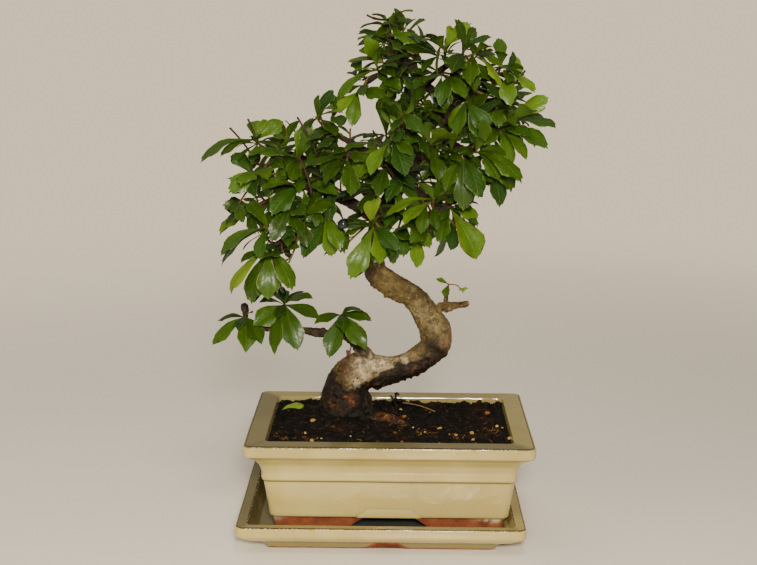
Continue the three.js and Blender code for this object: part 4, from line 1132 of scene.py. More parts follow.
def make_bark():
    """Olive tan bark clouded with brown and flecked with grey, with its stains and painted shade, and
    darker in its hollows.
    """
    finish = Finish("bark", gloss=0.3)
    clouds, layer, ramp, rise = finish.clouds, finish.layer, finish.ramp, finish.rise
    cloud, grain, mottle = clouds(45, 5, 0.62), clouds(420, 4, 0.7), clouds(150, 4, 0.7)
    color = finish.coated(
        ramp(cloud, (0.32, "3d3116"), (0.5, "62502a"), (0.7, "837044")),
        ("51431f", rise(mottle, 0.52, 0.66)),
        (ramp(mottle, (0.35, "3f3512"), (0.62, "625124")), layer("olive")),
        (ramp(cloud, (0.35, "6a4f33"), (0.65, "a2835f")), layer("tan")),
        (ramp(mottle, (0.38, "6c5e3d"), (0.58, "9f8f64")), layer("grey")),
        (ramp(mottle, (0.36, "29190d"), (0.62, "5a3d20")), layer("brown")),
        (ramp(mottle, (0.36, "a58a62"), (0.48, "dac39a"), (0.58, "f5e6c8")), layer("pale")),
        ("a2956a", rise(clouds(330), 0.57, 0.66), 0.35),
        ("2a1f12", rise(finish.cells(190), 0.2, 0.1), rise(clouds(70, 2), 0.46, 0.54)),
        ("33281a", layer("ring"), 0.75),
        ("2e2113", rise(clouds(170, 4, 0.7), 0.42, 0.36), 0.6),
        ("322716", layer("hollow"), 0.4),
        (ramp(mottle, (0.34, "090604"), (0.56, "18100a"), (0.76, "3e2917")), layer("damp")),
        (ramp(grain, (0.36, "3b1d0f"), (0.56, "74421b"), (0.72, "a8742c")), layer("rust"),
         rise(clouds(260, 3, 0.65), 0.4, 0.56)),
        (ramp(grain, (0.4, "0a0806"), (0.66, "231910")), layer("earth")),
        (ramp(mottle, (0.35, "110c08"), (0.65, "3a2c20")), layer("twig")))
    finish.relief(finish.plus(grain, mottle, cloud), 0.0015)
    return finish.done(color, finish.between(layer("damp"), 0.74, 0.5))


BARK = make_bark()

# %% Trunk, roots and low branches
VOXEL = 0.85
MELT_ROUNDS = 5


def melted(rings):
    """Points, normals and faces of one surface round tubes that cross: a voxel remesh, smoothed."""
    rough = new_object("rough_wood", make_mesh("rough_wood", [closed_tube(ring) for ring in rings]))
    remesh = rough.modifiers.new("voxels", "REMESH")
    remesh.mode, remesh.voxel_size = "VOXEL", VOXEL * MM
    smooth = rough.modifiers.new("smooth", "SMOOTH")
    smooth.factor, smooth.iterations = 0.5, MELT_ROUNDS
    made = rough.evaluated_get(bpy.context.evaluated_depsgraph_get()).to_mesh()
    points, normals = np.empty((2, 3 * len(made.vertices)))
    corners = np.empty(len(made.loops), int)
    made.vertices.foreach_get("co", points)
    made.vertices.foreach_get("normal", normals)
    made.loops.foreach_get("vertex_index", corners)
    bpy.data.objects.remove(rough)
    return points.reshape(-1, 3) / MM, normals.reshape(-1, 3), corners.reshape(-1, 4)


# Knots of the trunk and the low branch: a place, a reach and a rise, which is below zero for hollows.
KNOTS = [
    (-32, 11, 135, 9, 2.6), (-46, 16, 131, 4, -1), (-18, 16, 150, 4, 1.4), (2, 12, 152, 4, 1.4),
    (17, 12, 152, 4, 1.2), (-12, 12, 128, 5, 1.4), (8, 10, 128, 5, 1.3), (27, 10, 134, 5, 1.5),
    (46, 6, 155, 5, -1.6), (50, 5, 160, 4, 1), (56, 8, 165, 6, 1.6), (36, 8, 172, 3.5, 1),
    (33, 8, 180, 3, 1), (55, 9, 190, 4, 1.4), (30, 6, 208, 6, 1.2), (20, 8, 216, 3, 1.4),
    (2, 8, 204, 3.5, 1.6), (-10, 10, 212, 4, 1.6), (-16, 12, 222, 3.5, 1.3), (-2, 8, 236, 3.5, 1.2),
    (-15, 20, 240, 4, 1.5), (6, 10, 226, 3.5, 1.3), (-44, 18, 110, 5, 1.6), (-22, 12, 104, 5, 1.5),
    (57, 10, 195, 4, 1.3), (66, 6, 195, 2.5, 0.9), (73, 3, 199, 2.5, 0.8), (3, 6, 94, 5, 1.8),
    (10, 4, 92, 4, 1.5), (-3, 6, 92, 3.5, 1), (-8, 12, 148, 2.5, 1), (-17, 12, 147, 3, -1),
    (52.6, 8, 152, 2.5, -1.4), (35, 8, 155, 2, -0.9), (-44, 8, 178, 2.5, 1), (-66, 4, 171, 2.5, 1.2),
    (-53, 6, 175, 2.2, 1), (-59, 5, 170, 2.4, 1.1), (-79, 4, 177, 2.4, 1.1), (-30, 12, 168, 2.4, 1.1),
    (-86, 3, 173, 2.2, 1), (-20, 17, 158, 2.6, 1.1), (-101, 1, 179, 2.2, 1), (-72, 6, 178, 2, 0.8),
]


def fine_relief(points):
    """Bumps of bark at three sizes, each noise folded so that it leaves sharp valleys."""
    folded = [1.4 * (1 - 2.2 * np.abs(noise(points, size, seed))) for size, seed in ((6.2, 41), (3.1, 42))]
    return 0.45 * folded[0] + 0.55 * folded[1] + 0.45 * noise(points, 1.5, 43)


def bark_relief(points, normals, damp, fine):
    """How far the skin rises: slow lumps, the fine bumps, rougher below, where damp and in patches,
    creases where a stretched noise crosses zero, a bell for each knot and a rim for each lenticel."""
    rough = 0.38 + 0.5 * np.clip(-normals[:, 2], 0, 1) + 0.25 * damp
    rough *= np.clip(0.8 + 0.9 * noise(points, 11, 45), 0.3, 1.5)
    rise = 0.8 * noise(points, 12, 40) - rough * fine
    creases = 1 - np.abs(noise(points * [1, 1, 2.2], 5.5, 44)) * 2
    rise -= 0.6 * np.clip(creases, 0, 1) ** 3
    for x, y, z, reach, height in KNOTS:
        rise += height * bell(lengths((points - [x, y, z]) * [1, 0.6, 1]), reach)
    return rise + 0.4 * bell(lenticel_distances(points) - LENTICEL_RADIUS, 0.8).max(1)


# Shapes that only the skin shows: collars where branches leave, and the flare at the foot.
COLLARS = [
    [[-10, 20, 145, 4], [-14, 17, 152, 4.6], [-23, 15, 158, 4.2]],
    [[50, 16, 194, 3], [56, 13, 196, 4.2], [62, 10, 197, 3.6], [68, 8, 199, 2.6]],
    [[56, 12, 198, 2.8], [56, 9, 206, 2.1], [58, 7, 213, 1.4]],
    [[-28, 31, 121, 11], [-20, 27, 106, 9], [-14, 25, 95, 7], [-8, 23, 86, 5]],
    [[-5, 14, 86, 6], [4, 10, 90, 5.5], [13, 6, 88, 5]],
    [[-122, 0, 192, 2.6], [-123, 0, 197, 3.4], [-123, 0, 200, 2.6]],
]
SHRINKAGE, SHRINKAGE_REACH = 0.8, 3
RING_STEP = 1.6


def kept_thick(route):
    """A thin limb's route made thicker by what the smoothing will take."""
    route = np.array(route, float)
    route[:, 3] += SHRINKAGE * np.exp(-route[:, 3] / SHRINKAGE_REACH)
    return route


wood_routes = [kept_thick(route) for route in [LIMBS[name] for name in THICK_WOOD] + COLLARS]
wood_rings = [limb_rings(route, sides_for(route[1, 3], RING_STEP), RING_STEP) for route in wood_routes]
points, normals, faces = melted(wood_rings)
layers = stain_and_shade_layers(points)
fine = fine_relief(points)
layers["hollow"] = soft_step(0.35, 1.3, fine)
points = points + normals * bark_relief(points, normals, layers["damp"], fine)[:, None]
on_branch = soft_step(150, 153.5, points[:, 2] + 2 * noise(points, 4, 37))
on_branch *= soft_step(-6, -14, points[:, 0])
layers["brown"] = np.maximum(layers["brown"], on_branch)
shaded = 0.2 + 0.6 * soft_step(-0.2, 0.4, noise(points, 9, 36))
shaded = np.maximum(shaded, 0.95 * soft_step(-114, -119, points[:, 0]))
layers["twig"] = np.maximum(on_branch * shaded, soft_step(252, 285, points[:, 2]))
trunk_shape = {"points": points, "faces": [faces], "layers": layers}
trunk = add_piece(make_mesh("trunk_and_roots", [trunk_shape], BARK), "bark", "trunk")
print(measure(trunk))

# %% Limbs of the crown
LIMB_STEP, LIMB_FLARE = 1.4, 0.35


def limb_shape(route):
    """A limb as a closed tube, with a rough skin from noise, in the dark colours of twigs."""
    rings = limb_rings(route, sides_for(route[0][3], LIMB_STEP), LIMB_STEP, LIMB_FLARE)
    middle = rings.mean(1, keepdims=True)
    rough = 1 + 0.12 * noise(rings, 2.6, 51) + 0.08 * noise(rings, 1.2, 52)
    return closed_tube(middle + (rings - middle) * rough[..., None], layers={"twig": 1.0})


DEAD_SPURS = [
    [
        [-74, -33, 271, 2.6], [-78, -26, 262, 3.2], [-85, -21, 256, 3.8], [-92, -18, 254, 3.2],
        [-97, -16, 258, 1.8],
    ],
    [[-84, -22, 256, 3.0], [-83, -20, 249, 2.6], [-79, -20, 246, 1.6]],
    [[-90, -19, 255, 2.4], [-95, -18, 249, 1.6]],
]
crown_routes = [route for name, route in LIMBS.items() if name not in THICK_WOOD] + DEAD_SPURS
crown_limbs = [limb_shape(route) for route in crown_routes]
limbs = add_piece(make_mesh("crown_limbs", crown_limbs, BARK), "bark")
print(measure(limbs))

# %% [markdown]
# ## Leaves: where they stand
#
# Each leafy shoot stands on a limb and ends at a given place. Some leaves have their tips placed one
# by one, the others turn round the stem by the golden angle. A leaf that would touch wood or another
# leaf is moved or turned, and tried again. The solids' leaves came from the same rule, so these come
# out where they are.

# %% Shoots
SHOOTS = [
    ["left", 1, [-113, -18, 348], [[-156, -29, 330, 0.35], [-140, -37, 334, 0.4], [-87, -9, 363, 0.5],
        [-102, -3, 364, 0.45], [-84, -31, 350, 0.3]], 1],
    ["left", 0.82, [-73, -22, 332], [[-114, -44, 339, 0.3], [-61, -30, 359, 0.4]], 2],
    ["left", 0.92, [-104, -28, 321], [[-119, -56, 315, 0.4], [-130, -44, 306, 0.7]], 2],
    ["left_low", 1, [-115, 25, 281], [[-141, 8, 287, 0.8], [-146, 8, 262, 0.4]], 2],
    ["left", 0.66, [-69, -30, 308], [[-103, -46, 309, 0.35]], 3],
    ["left_front", 0.8, [-101, -46, 277], [[-137, -58, 255, 0.35], [-138, -46, 244, 0.3]], 2],
    ["left_front", 1, [-97, -50, 257], [[-96, -64, 218, 0.95], [-131, -52, 221, 0.35],
        [-75, -66, 228, 0.5], [-113, -58, 212, 0.6]], 1],
    ["left_front", 0.45, [-81, -42, 292], [[-93, -60, 267, 0.9], [-67, -62, 272, 0.8]], 2],
    ["left_front", 0.15, [-49, -38, 283], [[-68, -50, 251, 0.6], [-36, -56, 259, 0.6]], 2],
    ["upper_left", 1, [-57, -40, 369], [[-34, -52, 374, 0.4], [-39, -62, 356, 0.4]], 1],
    ["upper_left", 0.3, [-6, -34, 346], [[-32, -52, 343, 0.35], [10, -56, 332, 0.5]], 1],
    ["upper_left", 0.65, [-31, -52, 334], [[-65, -62, 331, 0.3], [-49, -70, 317, 0.45],
        [-26, -76, 309, 0.6]], 1],
    ["top_left", 1, [-23, -32, 388], [[-27, -50, 363, 0.75], [-38, -44, 373, 0.4]], 2],
    ["top_left", 0.6, [-8, -26, 408], [[-41, -34, 382, 0.35], [-25, -40, 408, 0.35]], 2],
    ["front", 1, [-9, -52, 277], [[-27, -66, 237, 0.95], [-2, -66, 250, 0.35], [12, -74, 263, 0.6]], 1],
    ["trunk", 1, [2, 12, 448], [[23, -6, 456, 0.35], [-11, -6, 454, 0.4], [14, -6, 429, 0.4]], 0],
    ["trunk", 0.975, [-2, -6, 434], [[30, -20, 431, 0.45], [-23, -20, 433, 0.35], [19, -26, 420, 0.4]], 0],
    ["top_left", 0.3, [-6, -10, 415], [[-16, -32, 434, 0.85], [-29, -26, 414, 0.3]], 2],
    ["top_left", 0.1, [13, -16, 402], [[33, -36, 416, 0.35], [29, -46, 390, 0.5], [1, -46, 385, 0.5]], 1],
    ["top_right", 0.5, [50, -12, 427], [[56, -32, 444, 0.5], [71, -22, 446, 0.55], [35, -34, 439, 0.4]], 1],
    ["top_right", 1, [76, -26, 422], [[86, -50, 429, 0.4], [97, -46, 412, 0.4], [70, -54, 398, 0.6]], 1],
    ["right_top", 1, [106, -26, 407], [[112, -48, 414, 0.35], [125, -40, 392, 0.45],
        [104, -46, 380, 0.4]], 1],
    ["top_right", 0.25, [53, -34, 403], [[46, -56, 380, 0.7], [66, -60, 388, 0.6], [32, -56, 399, 0.4]], 1],
    ["right_top", 0.4, [68, -38, 382], [[85, -56, 359, 0.6], [59, -60, 357, 0.5]], 2],
    ["right_top", 0.75, [96, 8, 388], [[104, 34, 372, 0.3], [120, 20, 384, 0.4]], 3],
    ["right", 1, [110, -29, 366], [[135, -38, 387, 0.5], [143, -42, 363, 0.4], [121, -58, 379, 0.3]], 1],
    ["right", 0.8, [98, -36, 357], [[118, -56, 337, 0.5], [136, -50, 346, 0.45],
        [103, -56, 329, 0.5]], 1],
    ["right_front", 1, [78, -56, 342], [[113, -66, 322, 0.4], [95, -78, 322, 0.5]], 2],
    ["right_front", 0.8, [65, -62, 338], [[66, -70, 296, 0.85], [50, -80, 314, 0.5],
        [78, -84, 310, 0.5]], 0],
    ["right", 0.5, [86, -34, 335], [[98, -44, 295, 0.5], [107, -54, 311, 0.4]], 2],
    ["centre_front", 1, [15, -64, 374], [[29, -92, 363, 0.8], [0, -88, 388, 0.5], [22, -84, 396, 0.5]], 0],
    ["centre_front", 0.7, [5, -62, 351], [[-11, -80, 326, 0.5], [18, -84, 326, 0.6]], 1],
    ["centre_front", 0.3, [40, -42, 347], [[46, -62, 320, 0.6], [29, -70, 368, 0.5],
        [54, -68, 363, 0.4]], 1],
    ["fork", 0.66, [42, -46, 302], [[2, -58, 290, 0.4], [54, -72, 324, 0.4], [28, -72, 321, 0.5]], 1],
    ["fork", 1, [56, -44, 293], [[79, -54, 252, 0.55], [79, -58, 281, 0.4], [47, -62, 267, 0.5]], 1],
    ["fork", 0.4, [20, -24, 275], [[17, -46, 253, 0.7], [40, -42, 260, 0.45], [1, -44, 252, 0.5],
        [30, -24, 238, 0.4]], 0],
    ["low_left_tip", 1, [-122, -9, 190], [[-151, -18, 167, 0.55], [-105, -32, 171, 0.6],
        [-119, -26, 163, 0.5]], 0],
    ["low_left_up", 1, [-87, -9, 202], [[-74, -28, 165, 0.8], [-54, -18, 191, 0.45],
        [-61, -28, 212, 0.4], [-95, -20, 161, 0.3], [-113, -26, 186, 0.8]], 1],
    ["low_mid", 1, [-37, -2, 191], [[-47, -22, 157, 0.75], [-60, -24, 187, 0.5], [-10, -12, 189, 0.45],
        [-14, -22, 165, 0.8]], 0],
    ["right_stub_up", 1, [58, 7, 218], [[47, 4, 223, 0.5], [54, -2, 208, 0.5], [71, 2, 216, 0.4]], 0],
    ["left_back", 1, [-93, 76, 330], [], 5],
    ["left_back", 0.7, [-73, 84, 327], [], 5],
    ["left_back", 0.4, [-44, 34, 322], [], 5],
    ["left_low", 0.5, [-94, 44, 292], [], 5],
    ["fork_back", 1, [61, 76, 281], [], 5],
    ["fork_back", 0.5, [50, 40, 280], [], 5],
    ["right_back", 1, [112, 74, 378], [], 5],
    ["right_back", 0.6, [87, 72, 358], [], 5],
    ["top_back", 1, [11, 64, 426], [], 5],
    ["centre_back", 1, [1, 86, 343], [], 4],
    ["centre_back", 0.5, [24, 52, 326], [], 5],
]
# The rule's measures, in millimetres, and the two angles that turn leaves round a stem.
GAP = 0.3
STUB_LENGTH, END_SWING, STEM_RADIUS = 2.4, 1.9, 1.25
LEAF_STEP, LEAF_ROOM, WOOD_ROOM = 1.4, 2.2, 1.3
SIBLING_START, SIBLING_ROOM = 9, 1
GOLDEN_ANGLE, WHOLE_TURN = 2.39996, 6.2832
print("shoots:", len(SHOOTS), "with", sum(len(shoot[3]) for shoot in SHOOTS), "placed leaves")

# %% Stems and blades
LEAF_PLACES = np.array([[0, 0], [0.56, 0.42], [0.98, 0.78], [0.55, 0.84], [0, 1], [-0.55, 0.84],
                        [-0.98, 0.78], [-0.56, 0.42], [0, 0.6]])
LEAF_RIM, LEAF_HEART, LEAF_TIP = np.arange(8), 8, 4
LEAF_FACES = np.stack([LEAF_RIM, (LEAF_RIM + 1) % 8, np.full(8, LEAF_HEART)], axis=-1)
LEAF_EDGES = [*zip(LEAF_RIM, (LEAF_RIM + 1) % 8), (0, LEAF_HEART), (LEAF_HEART, LEAF_TIP)]
BLADE_FOLD = 0.3


def stem_line(limb, t, end):
    """A shoot's stem: where it leaves the middle of its limb, its start outside the wood, its end."""
    root, along, radius = limb_at(limb, t)
    tip = np.array(end, float)
    way = unit(tip - root)
    slant = np.linalg.norm(np.cross(along, way))
    reach = (radius + STUB_LENGTH) / max(slant, 0.5) if t < 1 else END_SWING * slant
    start = root + way * (reach + GAP)
    return {"root": root, "tip": tip, "way": way, "on_side": t < 1, "reach": reach,
            "start": start, "length": np.linalg.norm(start - tip)}


def blade(root, tip, facing, slimness, arch):
    """A leaf's frame and its coarse outline: along, across and up, and an edge rising from the midrib."""
    length = np.linalg.norm(tip - root)
    along = (tip - root) / length
    up = unit(facing - along * (facing @ along))
    leaf = {"root": root, "along": along, "across": np.cross(along, up), "up": up, "length": length,
            "half": slimness * length / 2, "arch": arch}
    places = blade_points(leaf, *LEAF_PLACES.T)
    rim = [places[a] + (places[b] - places[a]) * (np.arange(n)[:, None] + 0.5) / n for a, b in LEAF_EDGES
           for n in [int(np.ceil(np.linalg.norm(places[b] - places[a]) / 3))]]
    centre = root + (tip - root) * 0.55
    reach = lengths(places - centre).max()
    return {**leaf, "faces": places[LEAF_FACES], "samples": np.vstack(rim), "centre": centre,
            "reach": reach}


def blade_points(leaf, u, v):
    """Root, plus along times length, plus across times half width, plus up times the arch over the
    length and the fold over the width."""
    u, v = np.asarray(u)[..., None], np.asarray(v)[..., None]
    lift = leaf["arch"] * leaf["length"] * 4 * v * (1 - v) + BLADE_FOLD * leaf["half"] * np.abs(u)
    return (leaf["root"] + leaf["along"] * leaf["length"] * v + leaf["across"] * leaf["half"] * u
            + leaf["up"] * lift)


def leaf_root(line, rank):
    """The leaves' roots sit one below the other on the stem."""
    back = max(min(LEAF_STEP * (rank + 0.5), line["length"] - 3.5), 0.5)
    return line["tip"] - line["way"] * back


def placed_blade(line, shoot, rank, tries):
    """A leaf whose tip is placed, moved in depth on each further try."""
    x, y, z, front = SHOOTS[shoot][3][rank]
    tip = np.array([x, y + LEAF_SHIFTS[tries], z], float)
    facing = np.array([np.sign(x - line["tip"][0]) * 0.5 * (1 - front), -front, 1 - front + 0.05])
    return blade(leaf_root(line, rank), tip, facing, 0.4 + 0.14 * draw(shoot, rank, 50),
                 0.05 + 0.07 * draw(shoot, rank, 51))


def spread_blade(line, shoot, rank, tries, shortest=27, spread=15):
    """A further leaf: turned round the stem by the golden angle, drooping a little under its weight."""
    way = line["way"]
    first, second = two_across(way)
    turn = GOLDEN_ANGLE * (rank + 3 * tries) + WHOLE_TURN * draw(shoot, 0, 60)
    tilt = 0.7 + 0.8 * draw(shoot, rank, 61 + tries)
    length = shortest + spread * draw(shoot, rank, 80)
    along = way * np.cos(tilt) + (first * np.cos(turn) + second * np.sin(turn)) * np.sin(tilt)
    along = unit(along - [0, 0, 0.25])
    root = leaf_root(line, rank)
    return blade(root, root + along * length, way * 0.6 + [0, 0, 1],
                 0.4 + 0.12 * draw(shoot, rank, 81), 0.05 + 0.08 * draw(shoot, rank, 82))


LEAF_SHIFTS = (0, -5, 5, -10, 10, -15, 15, -20, 20, 26)
lines = [stem_line(*shoot[:3]) for shoot in SHOOTS]
print("stems from", round(min(line["length"] for line in lines), 1), "mm up")

# %% Room round a leaf


def face_distances(points, faces):
    """Distances (points, faces): the height over the face where a point stands over it, otherwise the
    distance to its nearest edge."""
    edge = np.roll(faces, -1, axis=1) - faces
    offset = points[:, None, None] - faces
    share = np.clip((offset * edge).sum(-1) / (edge ** 2).sum(-1), 0, 1)
    to_edges = lengths(offset - edge * share[..., None]).min(-1)
    normal = unit(np.cross(edge[:, 0], edge[:, 1]))
    height = np.abs((offset[:, :, 0] * normal).sum(-1))
    side = (np.cross(edge, offset) * normal[:, None]).sum(-1)
    over = (side >= 0).all(-1) | (side <= 0).all(-1)
    return np.where(over, height, to_edges)


BEAD_STEP = 2
LIMBS_OWNER = -1
PLACED_TRIES, SPREAD_TRIES = len(LEAF_SHIFTS), 8


def line_beads(start, end):
    """Places at most a bead's step apart along a straight line."""
    count = int(np.ceil(np.linalg.norm(end - start) / BEAD_STEP))
    return start + (end - start) * np.linspace(0, 1, count + 1)[:, None]


class Room:
    """The wood and the leaves that a new leaf has to stay clear of, each with the shoot that owns it."""

    def __init__(self, lines):
        beads = [curve_at(route, np.linspace(0, 1, 12 * (len(route) - 1) + 1)) for route in LIMBS.values()]
        self.wood = np.vstack(beads)
        self.wood_owner = np.full(len(self.wood), LIMBS_OWNER)
        self.blades = []
        self.leaf_room = LEAF_ROOM
        for shoot, line in enumerate(lines):
            self.add_wood(line_beads(line["start"], line["tip"]), STEM_RADIUS, shoot)
            if line["on_side"]:
                stub = line_beads(line["root"], line["root"] + line["way"] * line["reach"])
                self.add_wood(stub, STEM_RADIUS, LIMBS_OWNER)

    def add_wood(self, places, radius, owner):
        self.wood = np.vstack([self.wood, np.column_stack([places, np.full(len(places), radius)])])
        self.wood_owner = np.append(self.wood_owner, np.full(len(places), owner))

    def is_clear(self, leaf, owner):
        """True where a leaf keeps its distance to wood that isn't its own and to the other leaves."""
        room = self.wood[:, 3] + WOOD_ROOM
        near = lengths(self.wood[:, :3] - leaf["centre"]) <= leaf["reach"] + room
        near &= self.wood_owner != owner
        if near.any() and (face_distances(self.wood[near, :3], leaf["faces"]).min(1) < room[near]).any():
            return False
        if not self.blades:
            return True
        centres = np.array([other["centre"] for other in self.blades])
        reaches = np.array([other["reach"] for other in self.blades])
        close = lengths(centres - leaf["centre"]) <= leaf["reach"] + reaches + self.leaf_room
        close = [self.blades[k] for k in np.flatnonzero(close)]
        siblings = [other["faces"] for other in close if other["owner"] == owner]
        others = [other for other in close if other["owner"] != owner]
        outer = leaf["samples"][lengths(leaf["samples"] - leaf["root"]) > SIBLING_START]
        if siblings and len(outer) and face_distances(outer, np.vstack(siblings)).min() < SIBLING_ROOM:
            return False
        if not others:
            return True
        faces = np.vstack([other["faces"] for other in others])
        samples = np.vstack([other["samples"] for other in others])
        return min(face_distances(leaf["samples"], faces).min(),
                   face_distances(samples, leaf["faces"]).min()) >= self.leaf_room

    def settle(self, owner, tries, make):
        """Takes the first clear leaf of a few tries."""
        for attempt in range(tries):
            leaf = make(attempt)
            if self.is_clear(leaf, owner):
                self.blades.append({**leaf, "owner": owner, "number": len(self.blades)})
                return


room = Room(lines)
for shoot, line in enumerate(lines):
    for rank in range(len(SHOOTS[shoot][3])):
        room.settle(shoot, PLACED_TRIES, lambda attempt: placed_blade(line, shoot, rank, attempt))
for shoot, line in enumerate(lines):
    placed = len(SHOOTS[shoot][3])
    for rank in range(placed, placed + SHOOTS[shoot][4]):
        room.settle(shoot, SPREAD_TRIES, lambda attempt: spread_blade(line, shoot, rank, attempt))
SOLID_LEAVES = len(room.blades)
print("leaves of the solids:", SOLID_LEAVES)

# %% [markdown]
# ## Leaves inside the crown
#
# The solids hold the leaves of the crown's outline. Between them the real tree has many smaller ones,
# on short twigs all along the limbs. They follow the same rule, on twigs that turn round their limb,
# and only where a leaf of the solids is near, so the outline stays. So does the gap in the crown's
# upper left.

# %% Twigs inside the crown
TWIG_SPACING = 8.5
INNER_REACH, BACK_REACH, BACK_FROM = 21, 27, 15
OPENING_PLACE, OPENING_HALF = np.array([-13, 362]), np.array([17, 22])
solid_centres = np.array([leaf["centre"] for leaf in room.blades])


def side_twig(root, tip, way, radius, length):
    """A twig's line from the middle of its limb, starting at the limb's skin."""
    return {"root": root, "tip": tip, "way": way, "start": root + way * radius, "length": length,
            "on_side": True, "reach": radius}


def twig_line(name, place, number):
    """A short twig on a limb: it leaves at a slant, turned by the golden angle, and rises a little."""
    root, along, radius = limb_at(name, place)
    first, second = two_across(along)
    turn = GOLDEN_ANGLE * number + WHOLE_TURN * draw(number, 2, 70)
    way = unit(first * np.cos(turn) + second * np.sin(turn) + 0.5 * along + [0, 0, 0.35])
    length = 9 + 12 * draw(number, 3, 70)
    return side_twig(root, root + way * radius + way * length, way, radius, length)


def filling_line(name, place, *end):
    """A longer twig from a place on a limb to its end."""
    root, _, radius = limb_at(name, place)
    tip = np.array(end, float)
    length = np.linalg.norm(tip - root)
    return side_twig(root, tip, (tip - root) / length, radius, length - radius)


def is_inside(leaf):
    """True where a leaf of the solids is near this one's tip, and it isn't in the opening."""
    tip = leaf["root"] + leaf["along"] * leaf["length"]
    seen = np.array([leaf["centre"], tip])[:, [0, 2]]
    in_opening = (((seen - OPENING_PLACE) / OPENING_HALF) ** 2).sum(1).min() < 1
    reach = BACK_REACH if tip[1] > BACK_FROM else INNER_REACH
    return not in_opening and lengths(solid_centres - tip).min() < reach


# Longer twigs that fill the crown: a limb, a place along it and the twig's end.
FILLING_TWIGS = [
    ("trunk", 0.77, 1, -30, 328), ("trunk", 0.755, 8, -34, 311), ("trunk", 0.79, 20, -30, 322),
    ("trunk", 0.74, -8, -36, 309), ("trunk", 0.73, 7, -28, 293), ("trunk", 0.86, 18, -22, 376),
    ("trunk", 0.85, 33, -22, 381), ("trunk", 0.83, 26, -26, 364), ("trunk", 0.815, 12, -30, 356),
    ("trunk", 0.81, 46, -34, 341), ("trunk", 0.8, 33, -34, 330), ("right", 0.3, 70, -28, 366),
    ("front", 0.6, -30, -36, 262), ("left", 0.9, -124, -26, 293), ("left_front", 0.9, -127, -38, 264),
    ("left_front", 0.95, -125, -42, 242), ("left", 0.3, -45, -36, 312), ("left", 0.5, -70, -34, 296),
    ("fork", 0.2, 10, -34, 268), ("fork", 0.8, 62, -40, 276), ("right_front", 0.5, 62, -44, 318),
    ("fork_back", 0.6, 44, 70, 296), ("left_back", 0.5, -50, 78, 300), ("trunk", 0.76, 6, 52, 300),
    ("trunk", 0.81, 40, 50, 330), ("trunk", 0.87, 46, 48, 372), ("left", 0.55, -62, 30, 318),
    ("top_right", 0.3, 45, -24, 421), ("top_right", 0.55, 57, -28, 411), ("top_right", 0.2, 44, -30, 404),
    ("top_right", 0.8, 66, -30, 424), ("right_top", 0.45, 76, -26, 405), ("right_top", 0.7, 90, -20, 410),
    ("front", 0.3, -27, -26, 252), ("left", 0.12, -36, -22, 274), ("left_front", 0.6, -80, -46, 246),
    ("left_low", 0.8, -120, -6, 284), ("left", 0.75, -118, -30, 318), ("right_back", 0.5, 88, 40, 392),
    ("right_back", 0.7, 84, 66, 386), ("fork_back", 0.3, 30, 44, 306), ("top_back", 0.5, 30, 40, 418),
    ("top_back", 0.7, 0, 56, 408), ("centre_back", 0.4, 22, 50, 338), ("centre_back", 0.7, -14, 74, 322),
    ("left_back", 0.25, -24, 52, 288), ("left_back", 0.8, -66, 82, 312), ("trunk", 0.9, 14, 40, 388),
    ("right_back", 0.25, 66, 44, 360), ("centre_back", 0.3, -20, 46, 306),
]
# Leaves of a filling twig, a short twig and a shoot: their ranks, the tries of each, and the shortest
# length with its spread.
FILLING_LEAVES, TWIG_LEAVES = (range(7), 6, 24, 12), (range(6), 6, 20, 12)
SHOOT_LEAVES = (range(10, 15), 5, 18, 14)
INNER_ROOM = 0.8
STUB_SHOOT = 39
FIRST_FILLING = 10000
TRUNK_TWIGS_FROM, TWIGS_FROM, TWIGS_TO = 0.73, 0.25, 0.98
room.leaf_room = INNER_ROOM
inner_lines = [(FIRST_FILLING + k, twig[0], filling_line(*twig)) for k, twig in enumerate(FILLING_TWIGS)]
for limb_number, (name, route) in enumerate(LIMBS.items()):
    if name in THICK_WOOD and name != "trunk":
        continue
    length = route_length(route)
    begin = TRUNK_TWIGS_FROM if name == "trunk" else TWIGS_FROM
    for k in range(int(length * (1 - begin) / TWIG_SPACING) + 1):
        place = begin + (1 - begin) * (k + 0.5) * TWIG_SPACING / (length * (1 - begin))
        if place < TWIGS_TO:
            number = 100 * (limb_number + 1) + k
            inner_lines.append((number, name, twig_line(name, place, number)))


def settle_inside(line, number, ranks, tries, shortest, spread):
    """Leaves of a twig, each kept only where it stays inside the crown."""
    for rank in ranks:
        kept = len(room.blades)
        room.settle(number, tries,
                    lambda attempt: spread_blade(line, number, rank, attempt, shortest, spread))
        if len(room.blades) > kept and not is_inside(room.blades[-1]):
            room.blades.pop()


for number, name, line in inner_lines:
    settle_inside(line, number, *(FILLING_LEAVES if number >= FIRST_FILLING else TWIG_LEAVES))
for shoot, line in enumerate(lines):
    if shoot != STUB_SHOOT:
        settle_inside(line, shoot, *SHOOT_LEAVES)
print("twigs:", len(inner_lines), "leaves in all:", len(room.blades))

# %% [markdown]
# ## Leaves: their form
#
# A leaf is narrow at its root and broadest near its round end, which has a few small teeth. On the low
# branch it is more of an oval. The blade is a grid of few rows, whose upper side and underside share
# their rim, so that hundreds of leaves stay light. It is folded along its midrib, its edges roll back,
# and its end droops. Each leaf's own draws set how broad, wavy, rolled and twisted it is.

